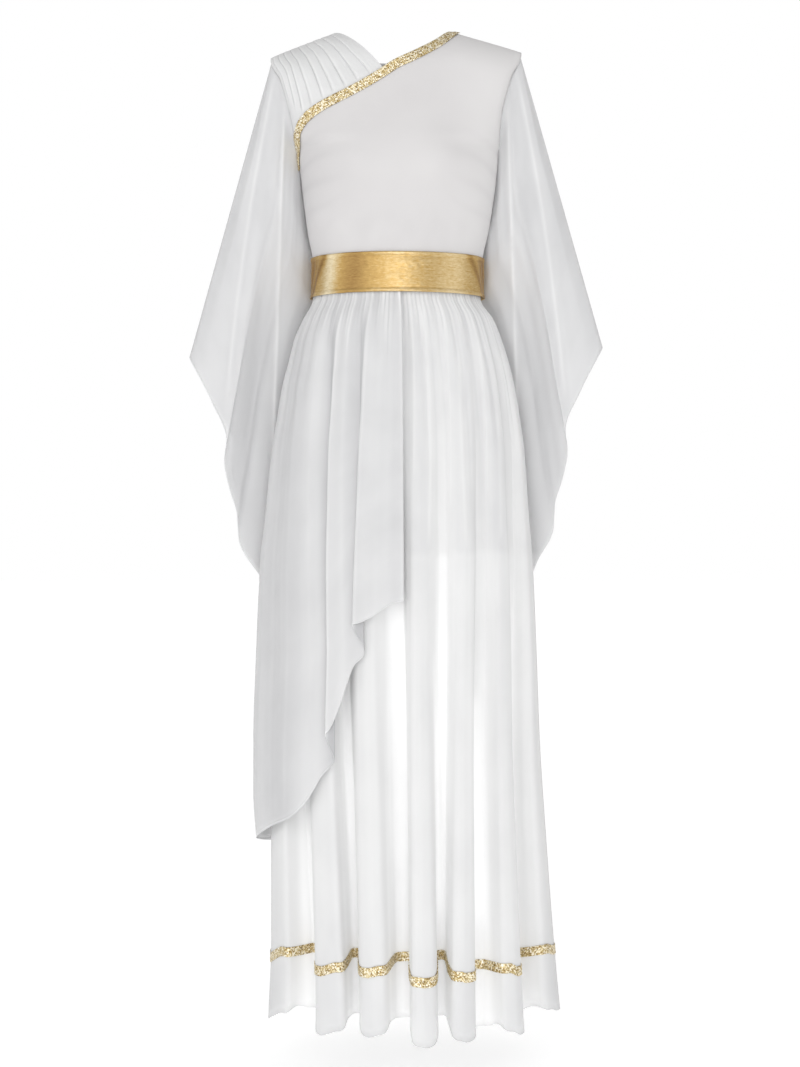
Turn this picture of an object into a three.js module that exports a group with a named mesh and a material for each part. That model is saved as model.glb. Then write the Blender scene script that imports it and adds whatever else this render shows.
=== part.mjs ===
// Roman toga costume, filled out as worn with nobody in it.
// A long white dress: a smooth knit bodice, a pleated chiffon yoke over the right shoulder, a diagonal gold
// braid, a gold belt, a gathered skirt with a braid near its hem, a cascading overskirt on the right side and
// two winged chiffon sleeves.
// Millimetres. -Y is the front, +X is the wearer's left, +Z is up.
// The origin is midway between the two shoulder seams, which carry the dress.

import * as THREE from 'three';

// Driving sizes
const seamGap = 0.3;
const knitWall = 1.6;
const chiffonWall = 1.2;
const braidWall = 1.0;
const beltWall = 1.6;
const braidWidth = 14;
const underarmZ = -165;
const waistZ = -350;
const beltTopZ = -322;
const beltBottomZ = -381;
const hemZ = -1450;
const liningHemZ = -762;
const hemBraidRise = 90; // from the hem to the middle of the hem braid
const neckSide = { x: 90, z: 15 }; // where each shoulder seam meets the neck
const shoulderTip = { left: { x: -187, z: -21 }, right: { x: 187, z: -12 } };
const shoulderRound = 62; // how far below its seam the shoulder rounds over
// The body's section is an oval at the waist and fuller from this far above the belt
const bodyFullness = { waist: 2, chest: 2.2, above: 80 };
const backNeckDrop = 26;
const bust = { x: 72, z: -186, across: 44, up: 38, height: 13 };

// Bodice sections, from the waist to the neck: half widths to each side, and depths to the front and the back
const bodySections = [
  { z: -350, left: 122, right: 127, front: 88, back: 81 },
  { z: -320, left: 125, right: 130, front: 89, back: 83 },
  { z: -285, left: 132, right: 138, front: 92, back: 88 },
  { z: -240, left: 138, right: 146, front: 99, back: 94 },
  { z: -205, left: 142, right: 151, front: 106, back: 99 },
  { z: -165, left: 147.5, right: 154, front: 107, back: 103 },
  { z: -120, left: 147.5, right: 154, front: 101, back: 104 },
  { z: -80, left: 147.5, right: 154, front: 93, back: 102 },
  { z: -40, left: 147.5, right: 154, front: 85, back: 96 },
  { z: 15, left: 147.5, right: 154, front: 78, back: 86 },
];

// Armhole edge, from the underarm to the shoulder tip: half widths, and its distance from the middle plane
const armholeSections = [
  { z: -165, left: 147.5, right: 154, depth: 0 },
  { z: -150, left: 149.5, right: 154, depth: 30 },
  { z: -116, left: 156, right: 156.5, depth: 46 },
  { z: -77, left: 166.5, right: 166, depth: 50 },
  { z: -45, left: 177, right: 175.5, depth: 48 },
  { z: -12, left: 190, right: 187, depth: 46 },
];

// The diagonal neckline, from the right underarm to the left side of the neck
const diagonal = [
  { x: -147.5, z: -165 },
  { x: -146, z: -148 },
  { x: -136, z: -131 },
  { x: -122, z: -119 },
  { x: -101, z: -107 },
  { x: -74, z: -94 },
  { x: -48, z: -80 },
  { x: -22, z: -64 },
  { x: 0, z: -49 },
  { x: 32, z: -33 },
  { x: 65, z: -12 },
  { x: 90, z: 15 },
];

// Belt sections: a close ring over the waist seam
const beltSections = [
  { z: beltBottomZ, left: 129, right: 134, front: 94.5, back: 88 },
  { z: -350, left: 127.8, right: 133, front: 93.2, back: 86.4 },
  { z: beltTopZ, left: 127.8, right: 132.8, front: 91.9, back: 86 },
];

// Skirt sections, from the waist to the hem
const skirtSections = [
  { z: -350, left: 121.5, right: 126.5, front: 88, back: 81 },
  { z: -382, left: 121.5, right: 127, front: 88, back: 82 },
  { z: -413, left: 133, right: 147, front: 97, back: 94 },
  { z: -444, left: 145, right: 159, front: 105, back: 104 },
  { z: -479, left: 153, right: 170, front: 111, back: 112 },
  { z: -513, left: 161, right: 178, front: 116, back: 119 },
  { z: -561, left: 168, right: 186, front: 122, back: 126 },
  { z: -603, left: 173, right: 192, front: 127, back: 131 },
  { z: -700, left: 180, right: 199, front: 136, back: 141 },
  { z: -773, left: 184, right: 205, front: 142, back: 148 },
  { z: -908, left: 187, right: 211, front: 153, back: 158 },
  { z: -1043, left: 187.5, right: 216, front: 163, back: 168 },
  { z: -1190, left: 187.5, right: 225.5, front: 173, back: 178 },
  { z: -1350, left: 187.5, right: 237.5, front: 183, back: 187 },
  { z: -1450, left: 191.5, right: 246.5, front: 190, back: 193 },
];

// Overskirt sections: only its left half and its depths differ from the skirt's
const overskirtSections = [
  { z: -350, left: 124.2, front: 90.7, back: 83.7 },
  { z: -382, left: 124.4, front: 90.9, back: 84.9 },
  { z: -413, left: 139.5, front: 104, back: 101 },
  { z: -444, left: 153, front: 115, back: 114 },
  { z: -479, left: 162, front: 124, back: 123 },
  { z: -513, left: 171, front: 130, back: 131 },
  { z: -561, left: 179, front: 136, back: 138 },
  { z: -603, left: 186, front: 141, back: 143 },
  { z: -700, left: 196, front: 150, back: 153 },
  { z: -773, left: 204, front: 156, back: 160 },
  { z: -908, left: 210.5, front: 167, back: 170 },
  { z: -1043, left: 214.5, front: 177, back: 180 },
  { z: -1118, left: 214.5, front: 182, back: 185 },
  { z: -1190, left: 210, front: 187, back: 190 },
];

// Skirt folds at the hem, in degrees round the skirt (0 is the front, -90 the wearer's right side).
// valley is how deep the hollow after the fold is, as a share of the skirt's radius, and soft the share of
// the fold that rounds over at each edge. left, right and rise lift the hem at its edges and in that hollow.
const frontFolds = [
  { from: -88, to: -55, valley: 0.36, soft: 0.2, left: -5, right: 20, rise: 22 },
  { from: -38.6, to: -21, valley: 0.38, soft: 0.07, left: 3, right: 12, rise: 24 },
  { from: -16, to: -2.4, valley: 0.38, soft: 0.07, left: 7, right: 11, rise: 20 },
  { from: 4.4, to: 14.6, valley: 0.36, soft: 0.08, left: -7, right: -8, rise: 22 },
  { from: 17.6, to: 28.5, valley: 0.26, soft: 0.08, left: -1, right: -3, rise: 6 },
  { from: 38.5, to: 51.5, valley: 0.34, soft: 0.12, left: 4, right: -3, rise: 10 },
  { from: 64, to: 88, valley: 0, soft: 0.2, left: 19, right: 6, rise: 0 },
];
const backFolds = [
  { from: 92, to: 112, valley: 0.34, soft: 0.2, left: 6, right: 10, rise: 16 },
  { from: 124, to: 138, valley: 0.4, soft: 0.12, left: 0, right: 2, rise: 18 },
  { from: 146, to: 158, valley: 0.42, soft: 0.1, left: 2, right: -2, rise: 17 },
  { from: 165, to: 178, valley: 0.4, soft: 0.1, left: -4, right: -2, rise: 19 },
  { from: 186, to: 200, valley: 0.42, soft: 0.1, left: 2, right: 4, rise: 17 },
  { from: 208, to: 223, valley: 0.36, soft: 0.12, left: 0, right: 3, rise: 14 },
  { from: 236, to: 268, valley: 0, soft: 0.2, left: 10, right: -5, rise: 0 },
];
const frontGathers = 18;
const backGathers = 15;

// Overskirt pleats, from its front edge round the right side: each face runs from under the last one to a
// sharp folded edge, then tucks back. Angles as above; hems are heights.
// deep and face are how far inside the outermost cloth a pleat starts and its face lies.
const overskirtPleats = [
  { from: 3.2, edge: -18, tuck: 5, deep: 1.5, face: 0, hemFrom: -829, hemEdge: -863, hemTuck: -896 },
  { from: -13, edge: -29, tuck: 3.6, deep: 10.2, face: 2, hemFrom: -903, hemEdge: -1020, hemTuck: -1056 },
];
// A pleat's section from its start to its edge, and on into the tuck: shares of the way there, of the rise
// from its start to its face and of the hem's fall, and how far it then turns in
const pleatFace = [
  { share: 0, rise: 0, fall: 0, turn: 0 },
  { share: 0.25, rise: 0.35, fall: 0.16, turn: 0 },
  { share: 0.55, rise: 1, fall: 0.6, turn: 0 },
  { share: 0.9, rise: 1, fall: 0.96, turn: 0.3 },
  { share: 1, rise: 1, fall: 1, turn: 2.6 },
];
const pleatTuck = [
  { share: 0.4, fall: 0.45, turn: 5.2 },
  { share: 1, fall: 1, turn: 6.4 },
];
// The rest of the overskirt, round the side to its back edge
const overskirtSide = [
  { angle: -27, inset: 11.4, hem: -1064 },
  { angle: -31, inset: 8, hem: -1080 },
  { angle: -37, inset: 1, hem: -1116 },
  { angle: -46, inset: 0, hem: -1142 },
  { angle: -60, inset: 4, hem: -1158 },
  { angle: -74, inset: 0, hem: -1176 },
  { angle: -90, inset: 0, hem: -1190 },
  { angle: -104, inset: 5, hem: -1199 },
  { angle: -117, inset: 0, hem: -1204 },
  { angle: -129, inset: 8, hem: -1176 },
  { angle: -141, inset: 0, hem: -1110 },
  { angle: -153, inset: 9, hem: -1024 },
  { angle: -165, inset: 0, hem: -946 },
  { angle: -177, inset: 2, hem: -878 },
];
const overskirtGathers = 17;

// Sleeve hem, from the low point behind the hip (0) to the outer tip (1)
const sleeveHem = [
  { across: 0, x: 160, z: -815 },
  { across: 0.12, x: 196, z: -810 },
  { across: 0.2, x: 214, z: -789 },
  { across: 0.31, x: 239, z: -742 },
  { across: 0.4, x: 241, z: -704 },
  { across: 0.5, x: 251, z: -667 },
  { across: 0.6, x: 258, z: -627 },
  { across: 0.7, x: 255, z: -592 },
  { across: 0.85, x: 279, z: -532 },
  { across: 1, x: 314, z: -466 },
];
// The sleeve's inner fold, from the underarm down behind the hip: how far inside the body's or the skirt's
// half width it hangs, and how far behind the middle plane
const sleeveInner = [
  { z: -167, inset: -4.6, y: 1 },
  { z: -195, inset: -3, y: 24 },
  { z: -230, inset: 0, y: 37 },
  { z: -300, inset: 1, y: 45 },
  { z: -360, inset: 0, y: 58 },
  { z: -425, inset: 14, y: 72 },
  { z: -505, inset: 19, y: 89 },
  { z: -600, inset: 22, y: 102 },
  { z: -705, inset: 26, y: 112 },
  { z: -815, inset: 26, y: 120 },
];
const sleeveTipY = 38;
const sleeveSpread = 60; // half the distance between the sleeve's front and back cloth
const sleeveWave = { height: 11, count: 2.13, firstRidge: 0.2 }; // soft folds that run down to the mouth
const sleeveClear = { underarm: 4.6, above: 1.6 }; // the sleeve head's distance outside the armhole edge
const leftSleeveRise = 15; // how much higher the left sleeve hangs

// Colours and finishes
const whiteKnit = new THREE.MeshStandardMaterial({ color: 0xf1f0f1, roughness: 0.75, metalness: 0 });
const whiteChiffon = new THREE.MeshStandardMaterial({ color: 0xf3f3f4, roughness: 0.8, metalness: 0 });
const sheerChiffon = new THREE.MeshStandardMaterial({ color: 0xe2e2e3, roughness: 0.8, metalness: 0 });
const goldBraid = new THREE.MeshStandardMaterial({ color: 0xc9a552, roughness: 0.4, metalness: 0.8 });
const goldFoil = new THREE.MeshStandardMaterial({ color: 0xcda353, roughness: 0.35, metalness: 0.7 });

// Small sums
const mix = (a, b, share) => a + (b - a) * share;
const clamp = (value, low, high) => Math.min(Math.max(value, low), high);
const degrees = (angle) => (angle * Math.PI) / 180;
const wave = (turns) => 0.5 - 0.5 * Math.cos(2 * Math.PI * turns); // 0 at each whole turn and 1 half way
const ease = (from, to, value) => {
  const share = clamp((value - from) / (to - from), 0, 1);
  return share * share * (3 - 2 * share);
};

// A smooth curve with no overshoot through a table: column `value` as a function of column `at`
function through(table, at, value) {
  const rows = [...table].sort((a, b) => a[at] - b[at]);
  const xs = rows.map((row) => row[at]);
  const ys = rows.map((row) => row[value]);
  const last = xs.length - 1;
  const slopes = xs.slice(1).map((x, i) => (ys[i + 1] - ys[i]) / (x - xs[i]));
  const tangents = xs.map((_, i) => {
    if (i === 0) return slopes[0];
    if (i === last) return slopes[last - 1];
    const [before, after] = [slopes[i - 1], slopes[i]];
    return before * after <= 0 ? 0 : (2 * before * after) / (before + after);
  });
  return (x) => {
    const inside = clamp(x, xs[0], xs[last]);
    let i = 0;
    while (i < last - 1 && inside > xs[i + 1]) i += 1;
    const step = xs[i + 1] - xs[i];
    const s = (inside - xs[i]) / step;
    const r = 1 - s;
    const level = ys[i] * (1 + 2 * s) * r * r + ys[i + 1] * s * s * (3 - 2 * s);
    return level + step * (tangents[i] * s * r * r - tangents[i + 1] * s * s * r);
  };
}

// The columns of a section table as functions of height
function sectionsOf(table) {
  const columns = Object.keys(table[0]).filter((name) => name !== 'z');
  return Object.fromEntries(columns.map((name) => [name, through(table, 'z', name)]));
}

// A cloth wall: a grid of points given by surface(across, down), raised by lift and thickened inwards along
// the grid's own normals. Rows and columns are lists of shares from 0 to 1; a closed wall joins its last
// column to its first. keep may push a point back to its own side of a seam.
function clothWall(surface, options) {
  const { columns, rows, wall, lift = 0, closed = false, outward = 1, keep = (point) => point } = options;
  const outer = rows.map((down) => columns.map((across) => surface(across, down)));
  const wide = columns.length;
  const high = rows.length;
  const normals = outer.map((row) => row.map(() => new THREE.Vector3()));
  const cells = closed ? wide : wide - 1;
  for (let r = 0; r < high - 1; r += 1) {
    for (let c = 0; c < cells; c += 1) {
      const d = (c + 1) % wide;
      const acrossCell = new THREE.Vector3().subVectors(outer[r + 1][d], outer[r][c]);
      const downCell = new THREE.Vector3().subVectors(outer[r + 1][c], outer[r][d]);
      const normal = acrossCell.cross(downCell);
      for (const [i, j] of [[r, c], [r, d], [r + 1, c], [r + 1, d]]) normals[i][j].add(normal);
    }
  }
  const points = [];
  const outerIndex = (r, c) => r * wide + (c % wide);
  const innerIndex = (r, c) => high * wide + outerIndex(r, c);
  const layer = (raise) => outer.forEach((row, r) => {
    row.forEach((point, c) => {
      const outwards = normals[r][c].clone().normalize().multiplyScalar(-raise * outward);
      points.push(keep(point.clone().add(outwards)));
    });
  });
  layer(lift);
  layer(lift - wall);
  const faces = [];
  const quad = (a, b, c, d) => {
    faces.push(...(outward > 0 ? [a, b, c, a, c, d] : [a, c, b, a, d, c]));
  };
  for (let r = 0; r < high - 1; r += 1) {
    for (let c = 0; c < cells; c += 1) {
      quad(outerIndex(r, c), outerIndex(r + 1, c), outerIndex(r + 1, c + 1), outerIndex(r, c + 1));
      quad(innerIndex(r, c), innerIndex(r, c + 1), innerIndex(r + 1, c + 1), innerIndex(r + 1, c));
    }
  }
  const bottom = high - 1;
  for (let c = 0; c < cells; c += 1) {
    const d = c + 1;
    quad(outerIndex(0, c), outerIndex(0, d), innerIndex(0, d), innerIndex(0, c));
    quad(outerIndex(bottom, c), innerIndex(bottom, c), innerIndex(bottom, d), outerIndex(bottom, d));
  }
  if (!closed) {
    const end = wide - 1;
    for (let r = 0; r < bottom; r += 1) {
      const q = r + 1;
      quad(outerIndex(r, 0), innerIndex(r, 0), innerIndex(q, 0), outerIndex(q, 0));
      quad(outerIndex(r, end), outerIndex(q, end), innerIndex(q, end), innerIndex(r, end));
    }
  }
  const geometry = new THREE.BufferGeometry();
  geometry.setAttribute('position', new THREE.Float32BufferAttribute(points.flatMap((p) => p.toArray()), 3));
  geometry.setIndex(faces);
  geometry.computeVertexNormals();
  return geometry;
}

// Evenly spaced shares from 0 to 1; an open run includes both ends
const even = (count, open = true) => Array.from({ length: count + (open ? 1 : 0) }, (_, i) => i / count);
// Shares that crowd together at the start
const crowded = (count, power) => even(count).map((share) => share ** power);

// What keeps a panel on its own side of the side and shoulder seams
const inFront = (point) => point.setY(Math.min(point.y, -seamGap / 2));
const behind = (point) => point.setY(Math.max(point.y, seamGap / 2));

// The upper body, as a general figure. shoulderSeam gives the seam's height at x.
const body = sectionsOf(bodySections);
const armhole = sectionsOf(armholeSections);

function shoulderSeam(x) {
  const tip = x < 0 ? shoulderTip.left : shoulderTip.right;
  const share = clamp((Math.abs(x) - neckSide.x) / (Math.abs(tip.x) - neckSide.x), 0, 1);
  return mix(neckSide.z, tip.z, share);
}

function bustHeight(x, z) {
  const lump = (centre) => Math.exp(-(((x - centre) / bust.across) ** 2) - ((z - bust.z) / bust.up) ** 2);
  return bust.height * (lump(-bust.x) + lump(bust.x));
}

// How far the figure's front (face -1) or back (face 1) lies from the middle plane at x, z
function figureDepth(x, z, face) {
  const side = x < 0 ? 'left' : 'right';
  const half = z > underarmZ ? armhole[side](z) : body[side](z);
  const edge = z > underarmZ ? armhole.depth(z) : 0;
  const centre = face < 0 ? body.front(z) + bustHeight(x, z) : body.back(z);
  const share = clamp(Math.abs(x) / half, 0, 1);
  const { waist, chest, above: full } = bodyFullness;
  const power = mix(waist, chest, ease(beltTopZ, beltTopZ + full, z));
  const bulge = (1 - share ** power) ** (1 / power);
  const below = clamp((shoulderSeam(x) - z) / shoulderRound, 0, 1);
  const rounding = Math.sqrt(1 - (1 - below) ** 2);
  return (edge + (centre - edge) * bulge) * rounding;
}

const figurePoint = (x, z, face) => new THREE.Vector3(x, face * figureDepth(x, z, face), z);

// A patch between four border curves, each giving x and z: bottom and top run across, left and right run up
function patch(bottom, top, left, right) {
  return (across, up) => {
    const blend = (name) => {
      const upwards = mix(bottom(across)[name], top(across)[name], up);
      const sideways = mix(left(up)[name], right(up)[name], across);
      const low = mix(bottom(0)[name], bottom(1)[name], across);
      const high = mix(top(0)[name], top(1)[name], across);
      return upwards + sideways - mix(low, high, up);
    };
    return { x: blend('x'), z: blend('z') };
  };
}

// A smooth line through rows of x and z, followed by its length
function byLength(rows) {
  const points = rows.map((row) => new THREE.Vector3(row.x, 0, row.z));
  const curve = new THREE.CatmullRomCurve3(points, false, 'centripetal');
  return {
    length: curve.getLength(),
    at: (share) => {
      const point = curve.getPointAt(clamp(share, 0, 1));
      return { x: point.x, z: point.z };
    },
  };
}

const diagonalCurve = byLength(diagonal);
const yokeShare = 0.58; // the share of the diagonal that borders the yoke

// A point beside the diagonal, at a distance up and to the right of the wearer
function besideDiagonal(share, distance) {
  const step = 0.01;
  const before = diagonalCurve.at(share - step);
  const after = diagonalCurve.at(share + step);
  const length = Math.hypot(after.x - before.x, after.z - before.z);
  const point = diagonalCurve.at(share);
  return {
    x: point.x - ((after.z - before.z) / length) * distance,
    z: point.z + ((after.x - before.x) / length) * distance,
  };
}

function sideSeam(side, z) {
  const half = z > underarmZ ? armhole[side](z) : body[side](z);
  return { x: side === 'left' ? -half : half, z };
}

// A side border from the waist to the underarm (at half way) and up the armhole to the shoulder tip
function sideAndArmhole(side) {
  return (up) => {
    if (up <= 0.5) return sideSeam(side, mix(waistZ, underarmZ, up * 2));
    const z = mix(underarmZ, shoulderTip[side].z, up * 2 - 1);
    const tip = shoulderTip[side];
    const edge = sideSeam(side, z);
    return { x: mix(edge.x, tip.x, ease(0.85, 1, up)), z };
  };
}

const waistLine = (across) => {
  const lean = Math.sin((Math.PI / 2) * (2 * across - 1));
  return { x: lean * (lean < 0 ? body.left(waistZ) : body.right(waistZ)), z: waistZ };
};
const seamLine = (side) => (share) => {
  const x = mix(side === 'left' ? -neckSide.x : neckSide.x, shoulderTip[side].x, share);
  return { x, z: shoulderSeam(x) };
};

// Bodice front: one panel from the waist to the diagonal neckline, the left shoulder and the left armhole
const frontColumns = { yoke: 18, neck: 7, shoulder: 5 };
const bodiceRows = 11;

function bodiceFront() {
  const total = frontColumns.yoke + frontColumns.neck + frontColumns.shoulder;
  const corner = (frontColumns.yoke + frontColumns.neck) / total;
  const yokeEnd = frontColumns.yoke / total;
  const top = (across) => {
    if (across <= yokeEnd) return besideDiagonal((across / yokeEnd) * yokeShare, -seamGap);
    if (across < corner) {
      const share = mix(yokeShare, 1, (across - yokeEnd) / (corner - yokeEnd));
      return besideDiagonal(share, -seamGap * ease(1, 0.9, share));
    }
    return seamLine('right')((across - corner) / (1 - corner));
  };
  const left = (up) => {
    const edge = sideSeam('left', mix(waistZ, underarmZ, up));
    return { x: mix(edge.x, top(0).x, ease(0.8, 1, up)), z: edge.z };
  };
  const panel = patch(waistLine, top, left, sideAndArmhole('right'));
  const surface = (across, down) => {
    const { x, z } = panel(across, 1 - down);
    return figurePoint(x, z, -1);
  };
  return clothWall(surface, { columns: even(total), rows: even(bodiceRows), wall: knitWall, keep: inFront });
}

// Bodice back: one plain panel with a shallow round neckline
const backColumns = { shoulder: 5, neck: 12 };

function bodiceBack() {
  const total = backColumns.neck + 2 * backColumns.shoulder;
  const first = backColumns.shoulder / total;
  const second = 1 - first;
  const top = (across) => {
    if (across < first) return seamLine('left')(1 - across / first);
    if (across > second) return seamLine('right')((across - second) / first);
    const turn = Math.PI * ((across - first) / (second - first));
    return { x: -neckSide.x * Math.cos(turn), z: neckSide.z - backNeckDrop * Math.sin(turn) ** 0.8 };
  };
  const panel = patch(waistLine, top, sideAndArmhole('left'), sideAndArmhole('right'));
  const surface = (across, down) => {
    const { x, z } = panel(across, 1 - down);
    return figurePoint(x, z, 1);
  };
  return clothWall(surface, {
    columns: even(total), rows: even(bodiceRows), wall: knitWall, outward: -1, keep: behind,
  });
}

// Pleated yoke over the right shoulder: its pleats run from the shoulder seam down to the diagonal
const yokePleats = { count: 9, height: 2.4, fade: 0.2, neckEnd: 0.9, armholeEnd: 0.55 };
const yokeNeckBow = 5; // how far the yoke's neck edge bows up

function yokePatch() {
  const along = (across) => besideDiagonal(across * yokeShare, seamGap);
  const seam = (across) => seamLine('left')(1 - across);
  const armholeEdge = (up) => {
    const z = mix(along(0).z, shoulderTip.left.z, up);
    const x = mix(sideSeam('left', z).x, shoulderTip.left.x, ease(0.7, 1, up));
    return { x: mix(along(0).x, x, ease(0, 0.1, up)), z };
  };
  const neckEdge = (up) => ({
    x: mix(along(1).x, -neckSide.x, up),
    z: mix(along(1).z, neckSide.z, up) + yokeNeckBow * Math.sin(Math.PI * up),
  });
  return patch(along, seam, armholeEdge, neckEdge);
}

function pleatedYoke() {
  const panel = yokePatch();
  const surface = (across, down) => {
    const { x, z } = panel(across, 1 - down);
    const point = figurePoint(x, z, -1);
    const { count, height, fade, neckEnd, armholeEnd } = yokePleats;
    const end = mix(armholeEnd, neckEnd, ease(0, 0.25, across)); // flat where the braid lies on it
    const pleated = (1 - ease(end - fade, end, down)) * ease(0, 0.08, across);
    point.y -= height * pleated * wave(count * across);
    return point;
  };
  return clothWall(surface, {
    columns: even(frontColumns.yoke * 2), rows: even(6), wall: chiffonWall, keep: inFront,
  });
}

// Gold braid along the diagonal, over the seam between the bodice and the yoke, and on down the side seam
const braidTail = { length: 26, narrow: 0.12, widensFrom: -0.12, wideAt: 0.17 }; // below the underarm
const neckBraidLift = 1.5;
const hemBraidLift = 0.4;

function neckBraid() {
  const whole = braidTail.length + diagonalCurve.length;
  const surface = (along, across) => {
    const share = (along * whole - braidTail.length) / diagonalCurve.length; // below 0 on the tail
    // beside the underarm the braid turns with the body, so most of its width is taken up in depth
    const narrow = mix(braidTail.narrow, 1, ease(braidTail.widensFrom, braidTail.wideAt, share));
    const width = narrow * mix(braidWidth / 2, -braidWidth / 2, across);
    const middle = share < 0
      ? { x: sideSeam('left', underarmZ).x - width, z: underarmZ + share * diagonalCurve.length }
      : besideDiagonal(Math.min(share, 1), width);
    const room = Math.abs(sideSeam('left', middle.z).x) - narrow * braidWidth * 0.5 + width;
    const x = Math.max(middle.x, -room);
    return figurePoint(x, Math.min(middle.z, shoulderSeam(x) - 0.5), -1);
  };
  return clothWall(surface, {
    columns: even(36), rows: even(3), wall: braidWall, lift: neckBraidLift + braidWall, keep: inFront,
  });
}

// The sizes of a section table at a height
const sectionAt = (table, z) => Object.fromEntries(Object.entries(table).map(([name, at]) => [name, at(z)]));

// A point on an upright oval: angle in degrees, half sizes, a share of the radius and an inset
function ovalPoint(angle, { left, right, front, back }, share, inset, z) {
  const sine = Math.sin(degrees(angle));
  const cosine = Math.cos(degrees(angle));
  const x = sine * (sine < 0 ? left : right) * share;
  const y = -cosine * (cosine > 0 ? front : back) * share;
  const reach = Math.hypot(x, y);
  return new THREE.Vector3(x * (1 - inset / reach), y * (1 - inset / reach), z);
}

// Belt: a plain band round the waist, over the tops of the skirt and the overskirt
const beltRing = sectionsOf(beltSections);

function belt() {
  const surface = (around, down) => {
    const z = mix(beltTopZ, beltBottomZ, down);
    return ovalPoint(360 * around, sectionAt(beltRing, z), 1, 0, z);
  };
  return clothWall(surface, { columns: even(48, false), rows: even(3), wall: beltWall, closed: true });
}

// How the cloth turns from a fold's face into the hollow beside it: the rim is where the face ends, the brow
// a share of its rounded edge and the wall a share of the hollow's width. Depths are shares of the hollow's.
const foldTurn = { rimDepth: 0.05, brow: 0.3, browDepth: 0.2, wall: 0.2, wallDepth: 0.55 };

// The cloth's path at the hem, from the fold table: rounded faces joined by steep walls into the hollows
function foldPoints(folds, start, end, radius) {
  const { rimDepth, brow, browDepth, wall, wallDepth } = foldTurn;
  const points = [];
  const add = (angle, rho, hem) => points.push({ angle, rho, hem });
  add(start, 1, folds[0].left);
  folds.forEach((fold, i) => {
    const before = folds[i - 1];
    const after = folds[i + 1];
    const hollow = before ? before.valley : 0;
    const edge = (fold.to - fold.from) * fold.soft;
    if (before) {
      const gap = fold.from - before.to;
      add(fold.from - gap * wall, 1 - hollow * wallDepth, mix(fold.left, before.rise, 0.5));
      add(fold.from + edge * brow, 1 - hollow * browDepth, fold.left);
    }
    add(fold.from + edge, 1 - hollow * rimDepth, fold.left);
    add((fold.from + fold.to) / 2, 1, mix(fold.left, fold.right, 0.5));
    add(fold.to - edge, 1 - fold.valley * rimDepth, fold.right);
    if (after) {
      const gap = after.from - fold.to;
      add(fold.to - edge * brow, 1 - fold.valley * browDepth, fold.right);
      add(fold.to + gap * wall, 1 - fold.valley * wallDepth, mix(fold.right, fold.rise, 0.5));
      add(fold.to + gap / 2, 1 - fold.valley, fold.rise);
    }
  });
  add(end, 1, folds[folds.length - 1].right);
  const place = ({ angle, rho }) => {
    const turn = degrees(angle);
    return new THREE.Vector2(Math.sin(turn), Math.cos(turn)).multiplyScalar(rho * radius);
  };
  let along = 0;
  points.forEach((point, i) => {
    if (i > 0) along += place(point).distanceTo(place(points[i - 1]));
    point.along = along;
  });
  return points;
}

const skirt = sectionsOf(skirtSections);
const hemRadius = 200;

// How far the folds have opened at a share of the way from the waist to the hem
const foldGrowth = (down) => down ** 1.15;
// How deep a layer's waist gathers are there: shallow in the seam, deep below the belt, gone as folds open
const skirtGather = { seam: 1.4, full: 3.6, deepensFrom: 0.02, deepAt: 0.07, goneAt: 0.34 };
const overskirtGather = { seam: 0.8, full: 2.6, deepensFrom: 0.04, deepAt: 0.08, goneAt: 0.3 };
const gatherDepth = ({ seam, full, deepensFrom, deepAt, goneAt }, down) => {
  const spent = ease(0.1, goneAt, down);
  return seam * (1 - spent) + full * ease(deepensFrom, deepAt, down) * (1 - spent);
};

function skirtPanel(folds, start, end, gathers) {
  const points = foldPoints(folds, start, end, hemRadius);
  const length = points[points.length - 1].along;
  const angleAt = through(points, 'along', 'angle');
  const rhoAt = through(points, 'along', 'rho');
  const hemAt = through(points, 'along', 'hem');
  return {
    length,
    point: (across, down) => {
      const along = across * length;
      const z = mix(waistZ - seamGap, hemZ + hemAt(along), down);
      const level = clamp((waistZ - z) / (waistZ - hemZ), 0, 1);
      const angle = mix(mix(start, end, across), angleAt(along), level);
      const rho = 1 - (1 - rhoAt(along)) * foldGrowth(level);
      const gather = gatherDepth(skirtGather, level) * wave(gathers * across);
      return ovalPoint(angle, sectionAt(skirt, z), rho, gather, z);
    },
  };
}

const skirtFront = skirtPanel(frontFolds, -90, 90, frontGathers);
const skirtBack = skirtPanel(backFolds, 90, 270, backGathers);
const fall = waistZ - hemZ;
const beltShare = (waistZ - beltBottomZ + 2) / fall; // just below the belt
const braidTopShare = 1 - (hemBraidRise + braidWidth / 2) / fall;
const braidBottomShare = 1 - (hemBraidRise - braidWidth / 2) / fall;
const skirtRows = [
  0, ...crowded(6, 1.6).map((share) => mix(beltShare, braidTopShare, share)), braidBottomShare, 1,
];

function skirtWall(panel, gathers, keep) {
  return clothWall(panel.point, {
    columns: even(gathers * 4), rows: skirtRows, wall: chiffonWall, keep,
  });
}

// Braid round the hem: two bands laid on the skirt, made from the skirt's own points moved out
function hemBraid(panel, gathers, keep) {
  const rows = [braidTopShare, braidBottomShare];
  const lift = hemBraidLift + braidWall;
  return clothWall(panel.point, { columns: even(gathers * 4), rows, wall: braidWall, lift, keep });
}

// Lining: a short plain slip inside the skirt, sewn in at the waist
const levelRows = skirtRows.slice(0, 4); // shares of the skirt's fall where every layer has a row
const liningShare = (waistZ - liningHemZ) / fall;
const liningInset = 0.46; // how far in the skirt's hollows push the slip, as a share of the radius at the hem
const liningClear = { waist: 3, below: 7.5, at: 0.08 }; // its distance inside the skirt

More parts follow.
